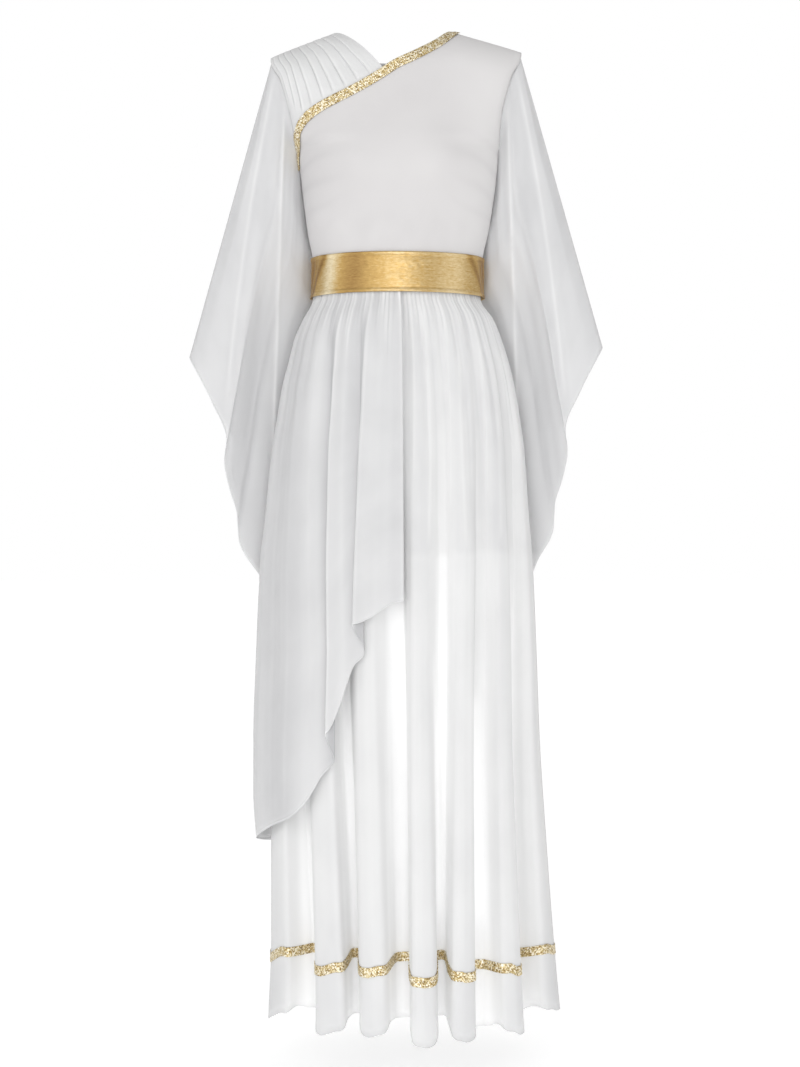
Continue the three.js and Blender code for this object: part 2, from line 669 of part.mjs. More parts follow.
function lining() {
  const surface = (around, down) => {
    const level = down * liningShare;
    const z = mix(waistZ - seamGap, hemZ, level);
    const clear = mix(liningClear.waist, liningClear.below, ease(0, liningClear.at, level));
    return ovalPoint(360 * around, sectionAt(skirt, z), 1 - liningInset * foldGrowth(level), clear, z);
  };
  const rows = [...levelRows.map((share) => share / liningShare), 1];
  return clothWall(surface, { columns: even(32, false), rows, wall: chiffonWall, closed: true });
}

// Overskirt: pleats generated from the table, then the side and back rows
function overskirtPoints() {
  const points = [];
  overskirtPleats.forEach(({ from, edge, tuck, deep, face, hemFrom, hemEdge, hemTuck }) => {
    points.push(...pleatFace.map(({ share, rise, fall: lower, turn }) => ({
      angle: mix(from, edge, share),
      inset: mix(deep, face, rise) + turn,
      hem: mix(hemFrom, hemEdge, lower),
    })));
    points.push(...pleatTuck.map(({ share, fall: lower, turn }) => ({
      angle: edge + tuck * share,
      inset: face + turn,
      hem: mix(hemEdge, hemTuck, lower),
    })));
  });
  points.push(...overskirtSide.map((row) => ({ ...row })));
  let along = 0;
  points.forEach((point, i) => {
    if (i > 0) {
      const before = points[i - 1];
      along += Math.hypot(hemRadius * degrees(point.angle - before.angle), point.inset - before.inset);
    }
    point.along = along;
  });
  return points;
}

const overskirtRows = overskirtPoints();
const overskirtLength = overskirtRows[overskirtRows.length - 1].along;
const overskirtAngle = through(overskirtRows, 'along', 'angle');
const overskirtInset = through(overskirtRows, 'along', 'inset');
const overskirtHem = through(overskirtRows, 'along', 'hem');
const over = sectionsOf(overskirtSections);
const pleatSetZ = -900; // where the pleats have their full set
const overskirtEase = { waist: 2, hip: 10 }; // how much wider than the skirt it is where both pass the front
// Its upper rows lie level with the skirt's, and the rest fall evenly to the hem
const lowestLevel = levelRows[levelRows.length - 1];
const levelShare = 0.3;
const overskirtDown = [
  ...levelRows.map((share) => (share / lowestLevel) * levelShare),
  ...even(5).slice(1).map((share) => mix(levelShare, 1, share)),
];

function overskirtPoint(across, down) {
  const along = across * overskirtLength;
  const levelZ = mix(waistZ - seamGap, hemZ, lowestLevel);
  const z = down < levelShare
    ? mix(waistZ - seamGap, levelZ, down / levelShare)
    : mix(levelZ, overskirtHem(along), (down - levelShare) / (1 - levelShare));
  const set = clamp((waistZ - z) / (waistZ - pleatSetZ), 0, 1);
  const first = overskirtRows[0].angle;
  const last = overskirtRows[overskirtRows.length - 1].angle;
  const angle = mix(mix(first, last, across), overskirtAngle(along), set);
  const gather = gatherDepth(overskirtGather, (waistZ - z) / fall) * wave(overskirtGathers * across);
  const inset = overskirtInset(along) * ease(0.1, 0.35, set) + gather;
  const wider = mix(overskirtEase.waist, overskirtEase.hip, ease(0.04, 0.2, set));
  return ovalPoint(angle, { ...sectionAt(over, z), right: skirt.right(z) + wider }, 1, inset, z);
}

function overskirt() {
  return clothWall((across, down) => overskirtPoint(1 - across, down), {
    columns: even(overskirtGathers * 4), rows: overskirtDown, wall: chiffonWall,
  });
}

// Winged sleeves: each is a wide tube from the armhole, with its top fold running out to the tip, its inner
// fold hanging behind the hip and a slanting, waving mouth
const sleeveFold = { inset: through(sleeveInner, 'z', 'inset'), y: through(sleeveInner, 'z', 'y') };
const mouth = { x: through(sleeveHem, 'across', 'x'), z: through(sleeveHem, 'across', 'z') };
const lowPoint = sleeveInner[sleeveInner.length - 1];

function sleevePoint(side, around, down) {
  const sign = side === 'left' ? -1 : 1;
  const face = around < 0.5 ? -1 : 1;
  const across = face < 0 ? around * 2 : 2 - around * 2; // 0 at the inner fold, 1 at the top fold
  const tip = shoulderTip[side];
  const raised = sign > 0 ? leftSleeveRise : 0;
  const innerAt = (share) => {
    const z = mix(sleeveInner[0].z, lowPoint.z, share);
    const half = z > waistZ ? body[side](z) : skirt[side](z);
    return new THREE.Vector3(half - sleeveFold.inset(z), sleeveFold.y(z), z + raised * share);
  };
  const topAt = (share) => {
    const z = mix(sleeveInner[0].z, tip.z, share ** 1.1);
    const half = Math.abs(mix(sideSeam(side, z).x, tip.x, ease(0.7, 1, share)));
    const depth = figureDepth(sign * half, z, face) * (1 - ease(0.92, 1, share));
    const clear = mix(sleeveClear.underarm, sleeveClear.above, ease(0.1, 0.45, share));
    return new THREE.Vector3(half + clear, face * depth, z);
  };
  const hemAt = (share) => new THREE.Vector3(
    mouth.x(share) + (innerAt(1).x - mouth.x(0)) * (1 - ease(0, 0.25, share)),
    mix(lowPoint.y, sleeveTipY, share) + face * sleeveSpread * Math.sin(Math.PI * share) ** 0.6,
    mouth.z(share) + raised,
  );
  const outerAt = (share) => topAt(1).lerp(hemAt(1), share);
  const upper = topAt(0).lerp(topAt(1), across);
  const lower = innerAt(1).lerp(hemAt(1), across);
  const point = topAt(across).lerp(hemAt(across), down)
    .add(innerAt(down).lerp(outerAt(down), across))
    .sub(upper.lerp(lower, down));
  const swell = sleeveWave.height * ease(0, 1, down) * Math.sin(Math.PI * across) ** 0.7;
  const turn = sleeveWave.count * (across - sleeveWave.firstRidge);
  point.y += face * swell * Math.cos(2 * Math.PI * turn + (face > 0 ? 1 : 0));
  point.x *= sign;
  return point;
}

function sleeve(side) {
  const surface = (around, down) => sleevePoint(side, around, down);
  const outward = side === 'left' ? -1 : 1;
  return clothWall(surface, {
    columns: even(36, false), rows: even(8), wall: chiffonWall, closed: true, outward,
  });
}

// The costume
const costume = new THREE.Group();

function sew(name, geometry, material) {
  const mesh = new THREE.Mesh(geometry, material);
  mesh.name = name;
  costume.add(mesh);
}

sew('bodice_front', bodiceFront(), whiteKnit);
sew('bodice_back', bodiceBack(), whiteKnit);
sew('shoulder_yoke', pleatedYoke(), whiteChiffon);
sew('neck_braid', neckBraid(), goldBraid);
sew('belt', belt(), goldFoil);
sew('skirt_front', skirtWall(skirtFront, frontGathers, inFront), whiteChiffon);
sew('skirt_back', skirtWall(skirtBack, backGathers, behind), whiteChiffon);
sew('hem_braid_front', hemBraid(skirtFront, frontGathers, inFront), goldBraid);
sew('hem_braid_back', hemBraid(skirtBack, backGathers, behind), goldBraid);
sew('skirt_lining', lining(), whiteKnit);
sew('overskirt', overskirt(), sheerChiffon);
sew('sleeve_right', sleeve('left'), sheerChiffon);
sew('sleeve_left', sleeve('right'), sheerChiffon);

export default costume;
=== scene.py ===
# Roman toga costume, filled out as worn: knit bodice, pleated yoke, gold braid and belt, gathered chiffon
# skirt, cascading overskirt and two winged sleeves. Shapes are worked out in millimetres and built in metres.
import math
from bisect import bisect_right
from functools import cache
import bpy
import bmesh
from mathutils import Matrix, Vector, noise


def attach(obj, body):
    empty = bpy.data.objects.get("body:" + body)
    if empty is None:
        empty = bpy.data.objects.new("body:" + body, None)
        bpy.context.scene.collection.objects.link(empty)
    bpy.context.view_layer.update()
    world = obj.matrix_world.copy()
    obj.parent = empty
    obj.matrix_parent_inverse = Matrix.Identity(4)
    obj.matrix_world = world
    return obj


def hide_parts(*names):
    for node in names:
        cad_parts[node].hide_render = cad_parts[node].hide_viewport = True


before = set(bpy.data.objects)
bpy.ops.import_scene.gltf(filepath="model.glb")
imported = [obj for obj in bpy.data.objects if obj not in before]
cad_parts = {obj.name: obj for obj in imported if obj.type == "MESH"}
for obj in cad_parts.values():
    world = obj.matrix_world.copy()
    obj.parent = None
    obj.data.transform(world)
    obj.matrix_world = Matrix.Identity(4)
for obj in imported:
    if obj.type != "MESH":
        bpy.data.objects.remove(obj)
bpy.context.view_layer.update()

mm = 0.001
seamGap = 0.3
waistZ = -350
hemZ = -1450
underarmZ = -165

cameraSettings = {
    "distance": 3.0,  # from the middle of the dress, in metres
    "focal": 2000,  # in pixels of the photograph
    "imageLongSide": 1067,
    "x": 0.006,
    "z": -0.733,
}


def setCamera():
    lens = bpy.data.cameras.new("camera")
    lens.sensor_width = 36
    lens.lens = lens.sensor_width * cameraSettings["focal"] / cameraSettings["imageLongSide"]
    camera = bpy.data.objects.new("camera", lens)
    camera.location = (cameraSettings["x"], -cameraSettings["distance"], cameraSettings["z"])
    camera.rotation_euler = (math.radians(90), 0, 0)
    bpy.context.collection.objects.link(camera)
    bpy.context.scene.camera = camera


setCamera()
print("camera set")


# Small sums and curves
def mix(a, b, share):
    return a + (b - a) * share


def clamp(value, low, high):
    return min(max(value, low), high)


def ease(start, end, value):
    share = clamp((value - start) / (end - start), 0, 1)
    return share * share * (3 - 2 * share)


def table(names, *rows):
    # named columns, one row for each section or fold
    return [dict(zip(names.split(), row)) for row in rows]


def through(rows, at, value):
    # a smooth curve with no overshoot through two columns of a table
    rows = sorted(rows, key=lambda row: row[at])
    xs = [row[at] for row in rows]
    ys = [row[value] for row in rows]
    slopes = [(ys[i + 1] - ys[i]) / (xs[i + 1] - xs[i]) for i in range(len(xs) - 1)]
    tangents = [slopes[0]]
    for before, after in zip(slopes, slopes[1:]):
        tangents.append(0 if before * after <= 0 else 2 * before * after / (before + after))
    tangents.append(slopes[-1])

    def curve(x):
        x = clamp(x, xs[0], xs[-1])
        i = min(bisect_right(xs, x) - 1, len(xs) - 2)
        step = xs[i + 1] - xs[i]
        s = (x - xs[i]) / step
        rise, fall = tangents[i] * step, tangents[i + 1] * step
        r = 1 - s
        return (ys[i] * (1 + 2 * s) * r * r + rise * s * r * r
                + ys[i + 1] * s * s * (3 - 2 * s) - fall * s * s * r)

    return curve


def sections(names, *rows):
    # the columns of a section table as functions of height
    made = table(names, *rows)
    return {name: through(made, "z", name) for name in names.split() if name != "z"}


def wander(*place):
    # smooth random height from -1 to 1, the same on each run
    return noise.noise(Vector(place))


def crease(value, sharpness):
    # a row of troughs from 0 to 1, one for each whole number, flat between them
    return (0.5 + 0.5 * math.cos(2 * math.pi * value)) ** sharpness


def ridge(distance, width):
    # 1 on a line, falling off smoothly to each side of it
    return math.exp(-((distance / width) ** 2))


def drawnLines(*rows):
    # creases drawn one by one, each from its top to its foot: their height and the painted light and shade
    # along them
    lines = table("x1 z1 x2 z2 x3 z3 width height tone", *rows)
    for line in lines:
        bend = (line["z2"] - line["z1"]) / (line["z3"] - line["z1"])
        line["bow"] = (line["x2"] - mix(line["x1"], line["x3"], bend)) / (bend * (1 - bend))

    def at(x, z):
        height = tone = 0
        for line in lines:
            share = (z - line["z1"]) / (line["z3"] - line["z1"])
            if -0.08 < share < 1.08:
                middle = mix(line["x1"], line["x3"], share) + line["bow"] * share * (1 - share)
                if abs(x - middle) < 3 * line["width"]:
                    near = ridge(x - middle, line["width"])
                    near *= ease(-0.08, 0.05, share) * ease(1.08, 0.9, share)
                    height += line["height"] * near
                    tone += line["tone"] * near
        return height, tone

    return at


# Cloth
def clothPiece(name, surface, across, down, cloth):
    # a grid of cells bent over surface(across, down), which gives millimetres and the tone there, then given
    # its thickness. Tone is painted light and shade: it runs from -1, painted shade, to 1, painted light,
    # standing in for the light and shade of layers and creases in white cloth
    bm = bmesh.new()
    uvLayer = bm.loops.layers.uv.new("cloth")
    toneLayer = bm.verts.layers.float.new("tone")
    bmesh.ops.create_grid(bm, x_segments=across, y_segments=down, size=0.5, calc_uvs=True)
    width, length = cloth["cut"]
    for face in bm.faces:
        for loop in face.loops:
            uv = loop[uvLayer].uv
            loop[uvLayer].uv = (uv.x * width, uv.y * length)
    rowOf = cloth.get("rows", lambda share: share)
    keep = cloth.get("keep", lambda point: point)
    for vert in bm.verts:
        x, y, z, tone = surface(vert.co.x + 0.5, rowOf(0.5 - vert.co.y))
        vert[toneLayer] = clamp(tone, -1, 1)
        vert.co = Vector(keep((x, y, z))) * mm
    if cloth.get("closed"):
        bmesh.ops.remove_doubles(bm, verts=bm.verts, dist=0.02 * mm)
    if cloth.get("inside"):
        bmesh.ops.reverse_faces(bm, faces=bm.faces)
    if cloth.get("smooth"):
        inner = [vert for vert in bm.verts if not vert.is_boundary]
        for _ in range(cloth["smooth"]):
            bmesh.ops.smooth_vert(bm, verts=inner, factor=0.5,
                                  use_axis_x=True, use_axis_y=True, use_axis_z=True)
    mesh = bpy.data.meshes.new(name)
    bm.to_mesh(mesh)
    bm.free()
    mesh.shade_smooth()
    piece = bpy.data.objects.new(name, mesh)
    bpy.context.collection.objects.link(piece)
    mesh.materials.append(cloths[cloth["slot"]])
    wall = piece.modifiers.new("thickness", "SOLIDIFY")
    wall.thickness = cloth["thick"] * mm
    wall.offset = -1
    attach(piece, "root")
    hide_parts(cloth["node"])
    print("made", name)
    return piece


def inFront(point):
    return (point[0], min(point[1], -seamGap / 2), point[2])


def behind(point):
    return (point[0], max(point[1], seamGap / 2), point[2])


# Materials
def linear(code):
    # an sRGB hex value turned to linear colour
    def channel(value):
        value /= 255
        return value / 12.92 if value <= 0.04045 else ((value + 0.055) / 1.055) ** 2.4

    return (*(channel((code >> shift) & 255) for shift in (16, 8, 0)), 1)


def addNode(tree, kind, settings=None, links=None):
    # a node with its settings, and each link as input: (node, output)
    node = tree.nodes.new(kind)
    for key, value in (settings or {}).items():
        if isinstance(key, int) or key in node.inputs:
            node.inputs[key].default_value = value
        else:
            setattr(node, key, value)
    for key, (source, output) in (links or {}).items():
        tree.links.new(source.outputs[output], node.inputs[key])
    return node


def newMaterial(name):
    material = bpy.data.materials.new(name)
    material.use_nodes = True
    tree = material.node_tree
    tree.nodes.clear()
    return material, tree


def clothMaterial(name):
    # place is the piece's own map, in the real size of its cut
    material, tree = newMaterial(name)
    return material, tree, addNode(tree, "ShaderNodeUVMap", {"uv_map": "cloth"})


def finishMaterial(tree, shader):
    addNode(tree, "ShaderNodeOutputMaterial", links={"Surface": (shader, "BSDF")})


def ramp(tree, source, output, stops):
    node = addNode(tree, "ShaderNodeValToRGB", links={"Fac": (source, output)})
    first, last = node.color_ramp.elements
    first.position, first.color = stops[0]
    last.position, last.color = stops[-1]
    for position, colour in stops[1:-1]:
        node.color_ramp.elements.new(position).color = colour
    return node


def grey(value):
    return (value, value, value, 1)


def colourWithPaintedShade(tree, place, tones, patchSize):
    # colour by the painted light and shade in the tone attribute, a little uneven over patches of the given
    # size in metres
    cloudy = addNode(tree, "ShaderNodeTexNoise", {"Scale": 1 / patchSize, "Detail": 2.0},
                     {"Vector": (place, "UV")})
    tone = addNode(tree, "ShaderNodeAttribute", {"attribute_name": "tone"})
    spread = addNode(tree, "ShaderNodeMath", {"operation": "MULTIPLY_ADD", 1: 0.3, 2: 0.35},
                     {0: (cloudy, "Fac")})
    level = addNode(tree, "ShaderNodeMath", {"operation": "MULTIPLY_ADD", 1: 0.5},
                    {0: (tone, "Fac"), 2: (spread, "Value")})
    return ramp(tree, level, "Value", [(i / 2, linear(colour)) for i, colour in enumerate(tones)])


waveRepeat = 3.2  # bands in one unit of a Wave texture at scale 1
# dark, middle and light tones: painted shade, the cloth's own colour and painted light; how opaque one face of
# the cloth is, its hem's width in metres, and how brightly its hollows glow, a painted glow
chiffonLook = {
    "skirt": {"tones": (0xD4D4D6, 0xEDEDED, 0xFBFBFB), "alpha": 0.8, "hem": 0, "paintedGlow": 0.13},
    "sheer": {"tones": (0xC6C6C8, 0xE1E1E2, 0xF6F6F6), "alpha": 0.68, "hem": 0.003, "paintedGlow": 0.11},
    "yoke": {"tones": (0xAEAEAF, 0xDADADA, 0xECECEC), "alpha": 0.96, "hem": 0, "paintedGlow": 0},
}
# the knit's dark, middle and light tones: painted shade, the cloth's own colour and painted light
knitTones = (0xBAB8B9, 0xCDCBCB, 0xDCDBDA)


def chiffon(name, look):
    # polyester chiffon, a fine crinkled plain weave: matt, soft and a little see-through.
    # its 0.3 mm threads can't show here, so the weave is drawn 1.6 mm wide and the crinkle 5 mm
    material, tree, place = clothMaterial(name)
    threads = [
        addNode(tree, "ShaderNodeTexWave", {"wave_type": "BANDS", "bands_direction": way, "Distortion": 0.6,
                                            "Scale": 1 / 0.0016 / waveRepeat, "Detail": 1.0},
                {"Vector": (place, "UV")})
        for way in ("X", "Y")
    ]
    weave = addNode(tree, "ShaderNodeMath", {"operation": "MULTIPLY"},
                    {0: (threads[0], "Fac"), 1: (threads[1], "Fac")})
    crinkle = addNode(tree, "ShaderNodeTexNoise", {"Scale": 1 / 0.005, "Detail": 3.0, "Roughness": 0.6},
                      {"Vector": (place, "UV")})
    colour = colourWithPaintedShade(tree, place, look["tones"], 0.09)
    height = addNode(tree, "ShaderNodeMath", {"operation": "MULTIPLY_ADD", 1: 0.4},
                     {0: (crinkle, "Fac"), 2: (weave, "Value")})
    bump = addNode(tree, "ShaderNodeBump", {"Strength": 0.16, "Distance": 0.0006},
                   {"Height": (height, "Value")})
    # the rolled hem is two cloths thick, so it is less see-through; v runs up from the hem
    parts = addNode(tree, "ShaderNodeSeparateXYZ", links={"Vector": (place, "UV")})
    hem = addNode(tree, "ShaderNodeMath", {"operation": "LESS_THAN", 1: look["hem"]}, {0: (parts, "Y")})
    alpha = addNode(tree, "ShaderNodeMapRange",
                    {"To Min": look["alpha"], "To Max": mix(look["alpha"], 1, 0.6)}, {"Value": (hem, "Value")})
    # painted glow: the lightest hollows give off light, standing in for light that comes through the thin cloth
    tone = addNode(tree, "ShaderNodeAttribute", {"attribute_name": "tone"})
    paintedGlow = addNode(tree, "ShaderNodeMapRange", {"From Min": 0.35, "To Max": look["paintedGlow"]},
                   {"Value": (tone, "Fac")})
    shader = addNode(tree, "ShaderNodeBsdfPrincipled", {
        "Roughness": 0.85, "IOR": 1.45, "Specular IOR Level": 0.25, "Sheen Weight": 0.12,
        "Sheen Roughness": 0.5, "Emission Color": grey(1.0),
    }, {"Base Color": (colour, "Color"), "Normal": (bump, "Normal"), "Alpha": (alpha, "Result"),
        "Emission Strength": (paintedGlow, "Result")})
    finishMaterial(tree, shader)
    return material


def polyesterKnit():
    # smooth polyester jersey: fine columns of stitches, 0.5 mm in the real cloth and drawn 1.8 mm wide here
    material, tree, place = clothMaterial("polyester_knit")
    ribs = addNode(tree, "ShaderNodeTexWave", {"wave_type": "BANDS", "bands_direction": "X", "Distortion": 0.4,
                                               "Scale": 1 / 0.0018 / waveRepeat}, {"Vector": (place, "UV")})
    grain = addNode(tree, "ShaderNodeTexNoise", {"Scale": 1 / 0.003, "Detail": 2.0}, {"Vector": (place, "UV")})
    colour = colourWithPaintedShade(tree, place, knitTones, 0.12)
    height = addNode(tree, "ShaderNodeMath", {"operation": "MULTIPLY_ADD", 1: 0.5},
                     {0: (grain, "Fac"), 2: (ribs, "Fac")})
    bump = addNode(tree, "ShaderNodeBump", {"Strength": 0.1, "Distance": 0.0004},
                   {"Height": (height, "Value")})
    shader = addNode(tree, "ShaderNodeBsdfPrincipled", {
        "Roughness": 0.8, "IOR": 1.45, "Specular IOR Level": 0.25, "Sheen Weight": 0.1, "Sheen Roughness": 0.5,
    }, {"Base Color": (colour, "Color"), "Normal": (bump, "Normal")})
    finishMaterial(tree, shader)
    return material


def metallicBraid():
    # braid woven of gold metallic yarn: each 1.7 mm loop gets its own colour and gloss, partly the yarn's own
    # colour and partly painted glints and painted shade
    material, tree, place = clothMaterial("metallic_braid")
    loops = addNode(tree, "ShaderNodeTexVoronoi", {"Scale": 1 / 0.0017, "Randomness": 0.9},
                    {"Vector": (place, "UV")})
    tone = addNode(tree, "ShaderNodeSeparateColor", links={"Color": (loops, "Color")})
    colour = ramp(tree, tone, "Red", [
        (0.0, linear(0x7A6030)), (0.3, linear(0xBAA066)), (0.6, linear(0xE0D0A4)), (1.0, linear(0xFFFBEE)),
    ])
    gloss = addNode(tree, "ShaderNodeMapRange", {"To Min": 0.28, "To Max": 0.6}, {"Value": (tone, "Green")})
    bump = addNode(tree, "ShaderNodeBump", {"Strength": 0.6, "Distance": 0.0008, "invert": True},
                   {"Height": (loops, "Distance")})
    shader = addNode(tree, "ShaderNodeBsdfPrincipled", {"Metallic": 0.5}, {
        "Base Color": (colour, "Color"), "Roughness": (gloss, "Result"), "Normal": (bump, "Normal"),
    })
    finishMaterial(tree, shader)
    return material


def goldFoilCloth():
    # gold foil printed on stretch knit: a soft metal sheen, crackled finely where the knit shows through.
    # the crackle is 0.8 mm in the real cloth and drawn 2.2 mm high and 6 mm long, along the stretch
    material, tree, place = clothMaterial("gold_foil_cloth")
    squash = addNode(tree, "ShaderNodeMapping", {"Scale": (0.36, 1.0, 1.0)}, {"Vector": (place, "UV")})
    crackle = addNode(tree, "ShaderNodeTexNoise", {"Scale": 1 / 0.0022, "Detail": 3.0, "Roughness": 0.7},
                      {"Vector": (squash, "Vector")})
    # the tone attribute holds the belt's painted reflection and shade
    tone = addNode(tree, "ShaderNodeAttribute", {"attribute_name": "tone"})
    speckle = addNode(tree, "ShaderNodeMath", {"operation": "MULTIPLY_ADD", 1: 0.5, 2: 0.25},
                      {0: (crackle, "Fac")})
    level = addNode(tree, "ShaderNodeMath", {"operation": "MULTIPLY_ADD", 1: 0.5},
                    {0: (tone, "Fac"), 2: (speckle, "Value")})
    colour = ramp(tree, level, "Value", [
        (0.0, linear(0x6E4F2C)), (0.2, linear(0x95723F)), (0.5, linear(0xB8975A)), (0.75, linear(0xD6C298)),
        (1.0, linear(0xF3E7C9)),
    ])
    gloss = addNode(tree, "ShaderNodeMapRange", {"To Min": 0.3, "To Max": 0.5}, {"Value": (crackle, "Fac")})
    bump = addNode(tree, "ShaderNodeBump", {"Strength": 0.25, "Distance": 0.0006},
                   {"Height": (crackle, "Fac")})
    shader = addNode(tree, "ShaderNodeBsdfPrincipled", {"Metallic": 0.6}, {
        "Base Color": (colour, "Color"), "Roughness": (gloss, "Result"), "Normal": (bump, "Normal"),
    })
    finishMaterial(tree, shader)
    return material


# the material of each slot
cloths = {
    "knit": polyesterKnit(),
    **{f"{name}_chiffon": chiffon(f"{name}_chiffon", look) for name, look in chiffonLook.items()},
    "braid": metallicBraid(),
    "belt_foil": goldFoilCloth(),
}
print("materials made")


# The figure that the bodice fits: half widths to each side, depths to the front and the back
neckSide = {"x": 90, "z": 15}
shoulderTip = {"left": {"x": -187, "z": -21}, "right": {"x": 187, "z": -12}}
figure = {"shoulderRound": 62, "bustX": 72, "bustZ": -186, "bustAcross": 44, "bustUp": 38, "bustHeight": 13,
          "beltTop": -322}
body = sections(
    "z left right front back",
    (-350, 122, 127, 88, 81), (-320, 125, 130, 89, 83), (-285, 132, 138, 92, 88), (-240, 138, 146, 99, 94),
    (-205, 142, 151, 106, 99), (-165, 147.5, 154, 107, 103), (-120, 147.5, 154, 101, 104),
    (-80, 147.5, 154, 93, 102), (-40, 147.5, 154, 85, 96), (15, 147.5, 154, 78, 86),
)
armhole = sections(
    "z left right depth",
    (-165, 147.5, 154, 0), (-150, 149.5, 154, 30), (-116, 156, 156.5, 46), (-77, 166.5, 166, 50),
    (-45, 177, 175.5, 48), (-12, 190, 187, 46),
)


def shoulderSeam(x):
    tip = shoulderTip["left" if x < 0 else "right"]
    share = clamp((abs(x) - neckSide["x"]) / (abs(tip["x"]) - neckSide["x"]), 0, 1)
    return mix(neckSide["z"], tip["z"], share)


def bustHeight(x, z):
    up = ((z - figure["bustZ"]) / figure["bustUp"]) ** 2
    if up > 9:
        return 0
    lumps = (math.exp(-(((x - side * figure["bustX"]) / figure["bustAcross"]) ** 2) - up) for side in (-1, 1))
    return figure["bustHeight"] * sum(lumps)


def figureDepth(x, z, face):
    side = "left" if x < 0 else "right"
    above = z > underarmZ
    half = armhole[side](z) if above else body[side](z)
    edge = armhole["depth"](z) if above else 0
    centre = body["front"](z) + bustHeight(x, z) if face < 0 else body["back"](z)
    share = clamp(abs(x) / half, 0, 1)
    power = mix(2, 2.2, ease(figure["beltTop"], figure["beltTop"] + 80, z))
    bulge = (1 - share ** power) ** (1 / power)
    below = clamp((shoulderSeam(x) - z) / figure["shoulderRound"], 0, 1)
    return (edge + (centre - edge) * bulge) * math.sqrt(1 - (1 - below) ** 2)


def sideSeam(side, z):
    half = armhole[side](z) if z > underarmZ else body[side](z)
    return (-half if side == "left" else half, z)


def patch(bottom, top, left, right):
    # a patch between four border curves, each giving x and z
    def place(across, up):
        low, high, start, end = bottom(across), top(across), left(up), right(up)
        corners = (bottom(0), bottom(1), top(0), top(1))
        return tuple(
            mix(low[i], high[i], up) + mix(start[i], end[i], across)
            - mix(mix(corners[0][i], corners[1][i], across), mix(corners[2][i], corners[3][i], across), up)
            for i in (0, 1)
        )

    return place


def byLength(points):
    # a smooth line through points, followed by its length
    fine = []
    padded = [points[0], *points, points[-1]]
    for i in range(1, len(padded) - 2):
        a, b, c, d = (Vector(point) for point in padded[i - 1:i + 3])
        for step in range(16):
            t = step / 16
            fine.append(0.5 * (2 * b + (c - a) * t + (2 * a - 5 * b + 4 * c - d) * t * t
                               + (3 * b - a - 3 * c + d) * t * t * t))
    fine.append(Vector(points[-1]))
    reached = [0]
    for before, after in zip(fine, fine[1:]):
        reached.append(reached[-1] + (after - before).length)

    def at(share):
        along = clamp(share, 0, 1) * reached[-1]
        i = min(bisect_right(reached, along) - 1, len(fine) - 2)
        return fine[i].lerp(fine[i + 1], (along - reached[i]) / (reached[i + 1] - reached[i]))

    return at, reached[-1]


diagonalAt, diagonalLength = byLength([
    (-147.5, -165), (-146, -148), (-136, -131), (-122, -119), (-101, -107), (-74, -94),
    (-48, -80), (-22, -64), (0, -49), (32, -33), (65, -12), (90, 15),
])
yokeShare = 0.58  # the share of the diagonal that borders the yoke


def besideDiagonal(share, distance):
    before, after, point = diagonalAt(share - 0.01), diagonalAt(share + 0.01), diagonalAt(share)
    way = (after - before).normalized()
    return (point[0] - way[1] * distance, point[1] + way[0] * distance)


def sideAndArmhole(side):
    tip = shoulderTip[side]

    def edge(up):
        if up <= 0.5:
            return sideSeam(side, mix(waistZ, underarmZ, up * 2))
        z = mix(underarmZ, tip["z"], up * 2 - 1)
        return (mix(sideSeam(side, z)[0], tip["x"], ease(0.85, 1, up)), z)

    return edge


def waistLine(across):
    lean = math.sin(math.pi / 2 * (2 * across - 1))
    return (lean * body["left" if lean < 0 else "right"](waistZ), waistZ)


def seamLine(side, share):
    x = mix(-neckSide["x"] if side == "left" else neckSide["x"], shoulderTip[side]["x"], share)
    return (x, shoulderSeam(x))


# Bodice
bodice = {
    "thick": 1.2,
    "columns": {"yoke": 18, "neck": 7, "shoulder": 5},
    "width": 290, "height": 320,  # between the armholes and down the back, where the edges are turned
    "binding": 7,  # width of the turned edge at the armhole
    "bindingRise": 0.5,
    "dragHeight": 0.9,
    "backNeckDrop": 26,
}


def bodiceFrontPatch():
    columns = bodice["columns"]
    total = sum(columns.values())
    yokeEnd = columns["yoke"] / total
    corner = (columns["yoke"] + columns["neck"]) / total

    def top(across):
        if across <= yokeEnd:
            return besideDiagonal(across / yokeEnd * yokeShare, -seamGap)
        if across < corner:
            share = mix(yokeShare, 1, (across - yokeEnd) / (corner - yokeEnd))
            return besideDiagonal(share, -seamGap * ease(1, 0.9, share))
        return seamLine("right", (across - corner) / (1 - corner))

    def left(up):
        x, z = sideSeam("left", mix(waistZ, underarmZ, up))
        return (mix(x, top(0)[0], ease(0.8, 1, up)), z)

    return patch(waistLine, top, left, sideAndArmhole("right"))


def dragLines(x, z):
    # soft pulls in the knit, from the bust to the side seams and above the belt
    side = ease(60, 130, abs(x))
    pulls = crease((z + 0.45 * abs(x)) / 34 + 0.4 * wander(x * 0.02, z * 0.01, 4), 3)
    low = ease(-235, -290, z) * ease(-345, -315, z)
    return bodice["dragHeight"] * (side * pulls * ease(-130, -180, z) * ease(-300, -240, z)
                                   + 0.6 * low * wander(x * 0.05, z * 0.03, 9))


def edgeBinding(distance):
    # a turned and stitched edge: raised as far as the stitching, with a groove there
    width = bodice["binding"]
    return bodice["bindingRise"] * (ease(width, width - 0.8, distance) - 0.8 * ridge(distance - width, 0.7))


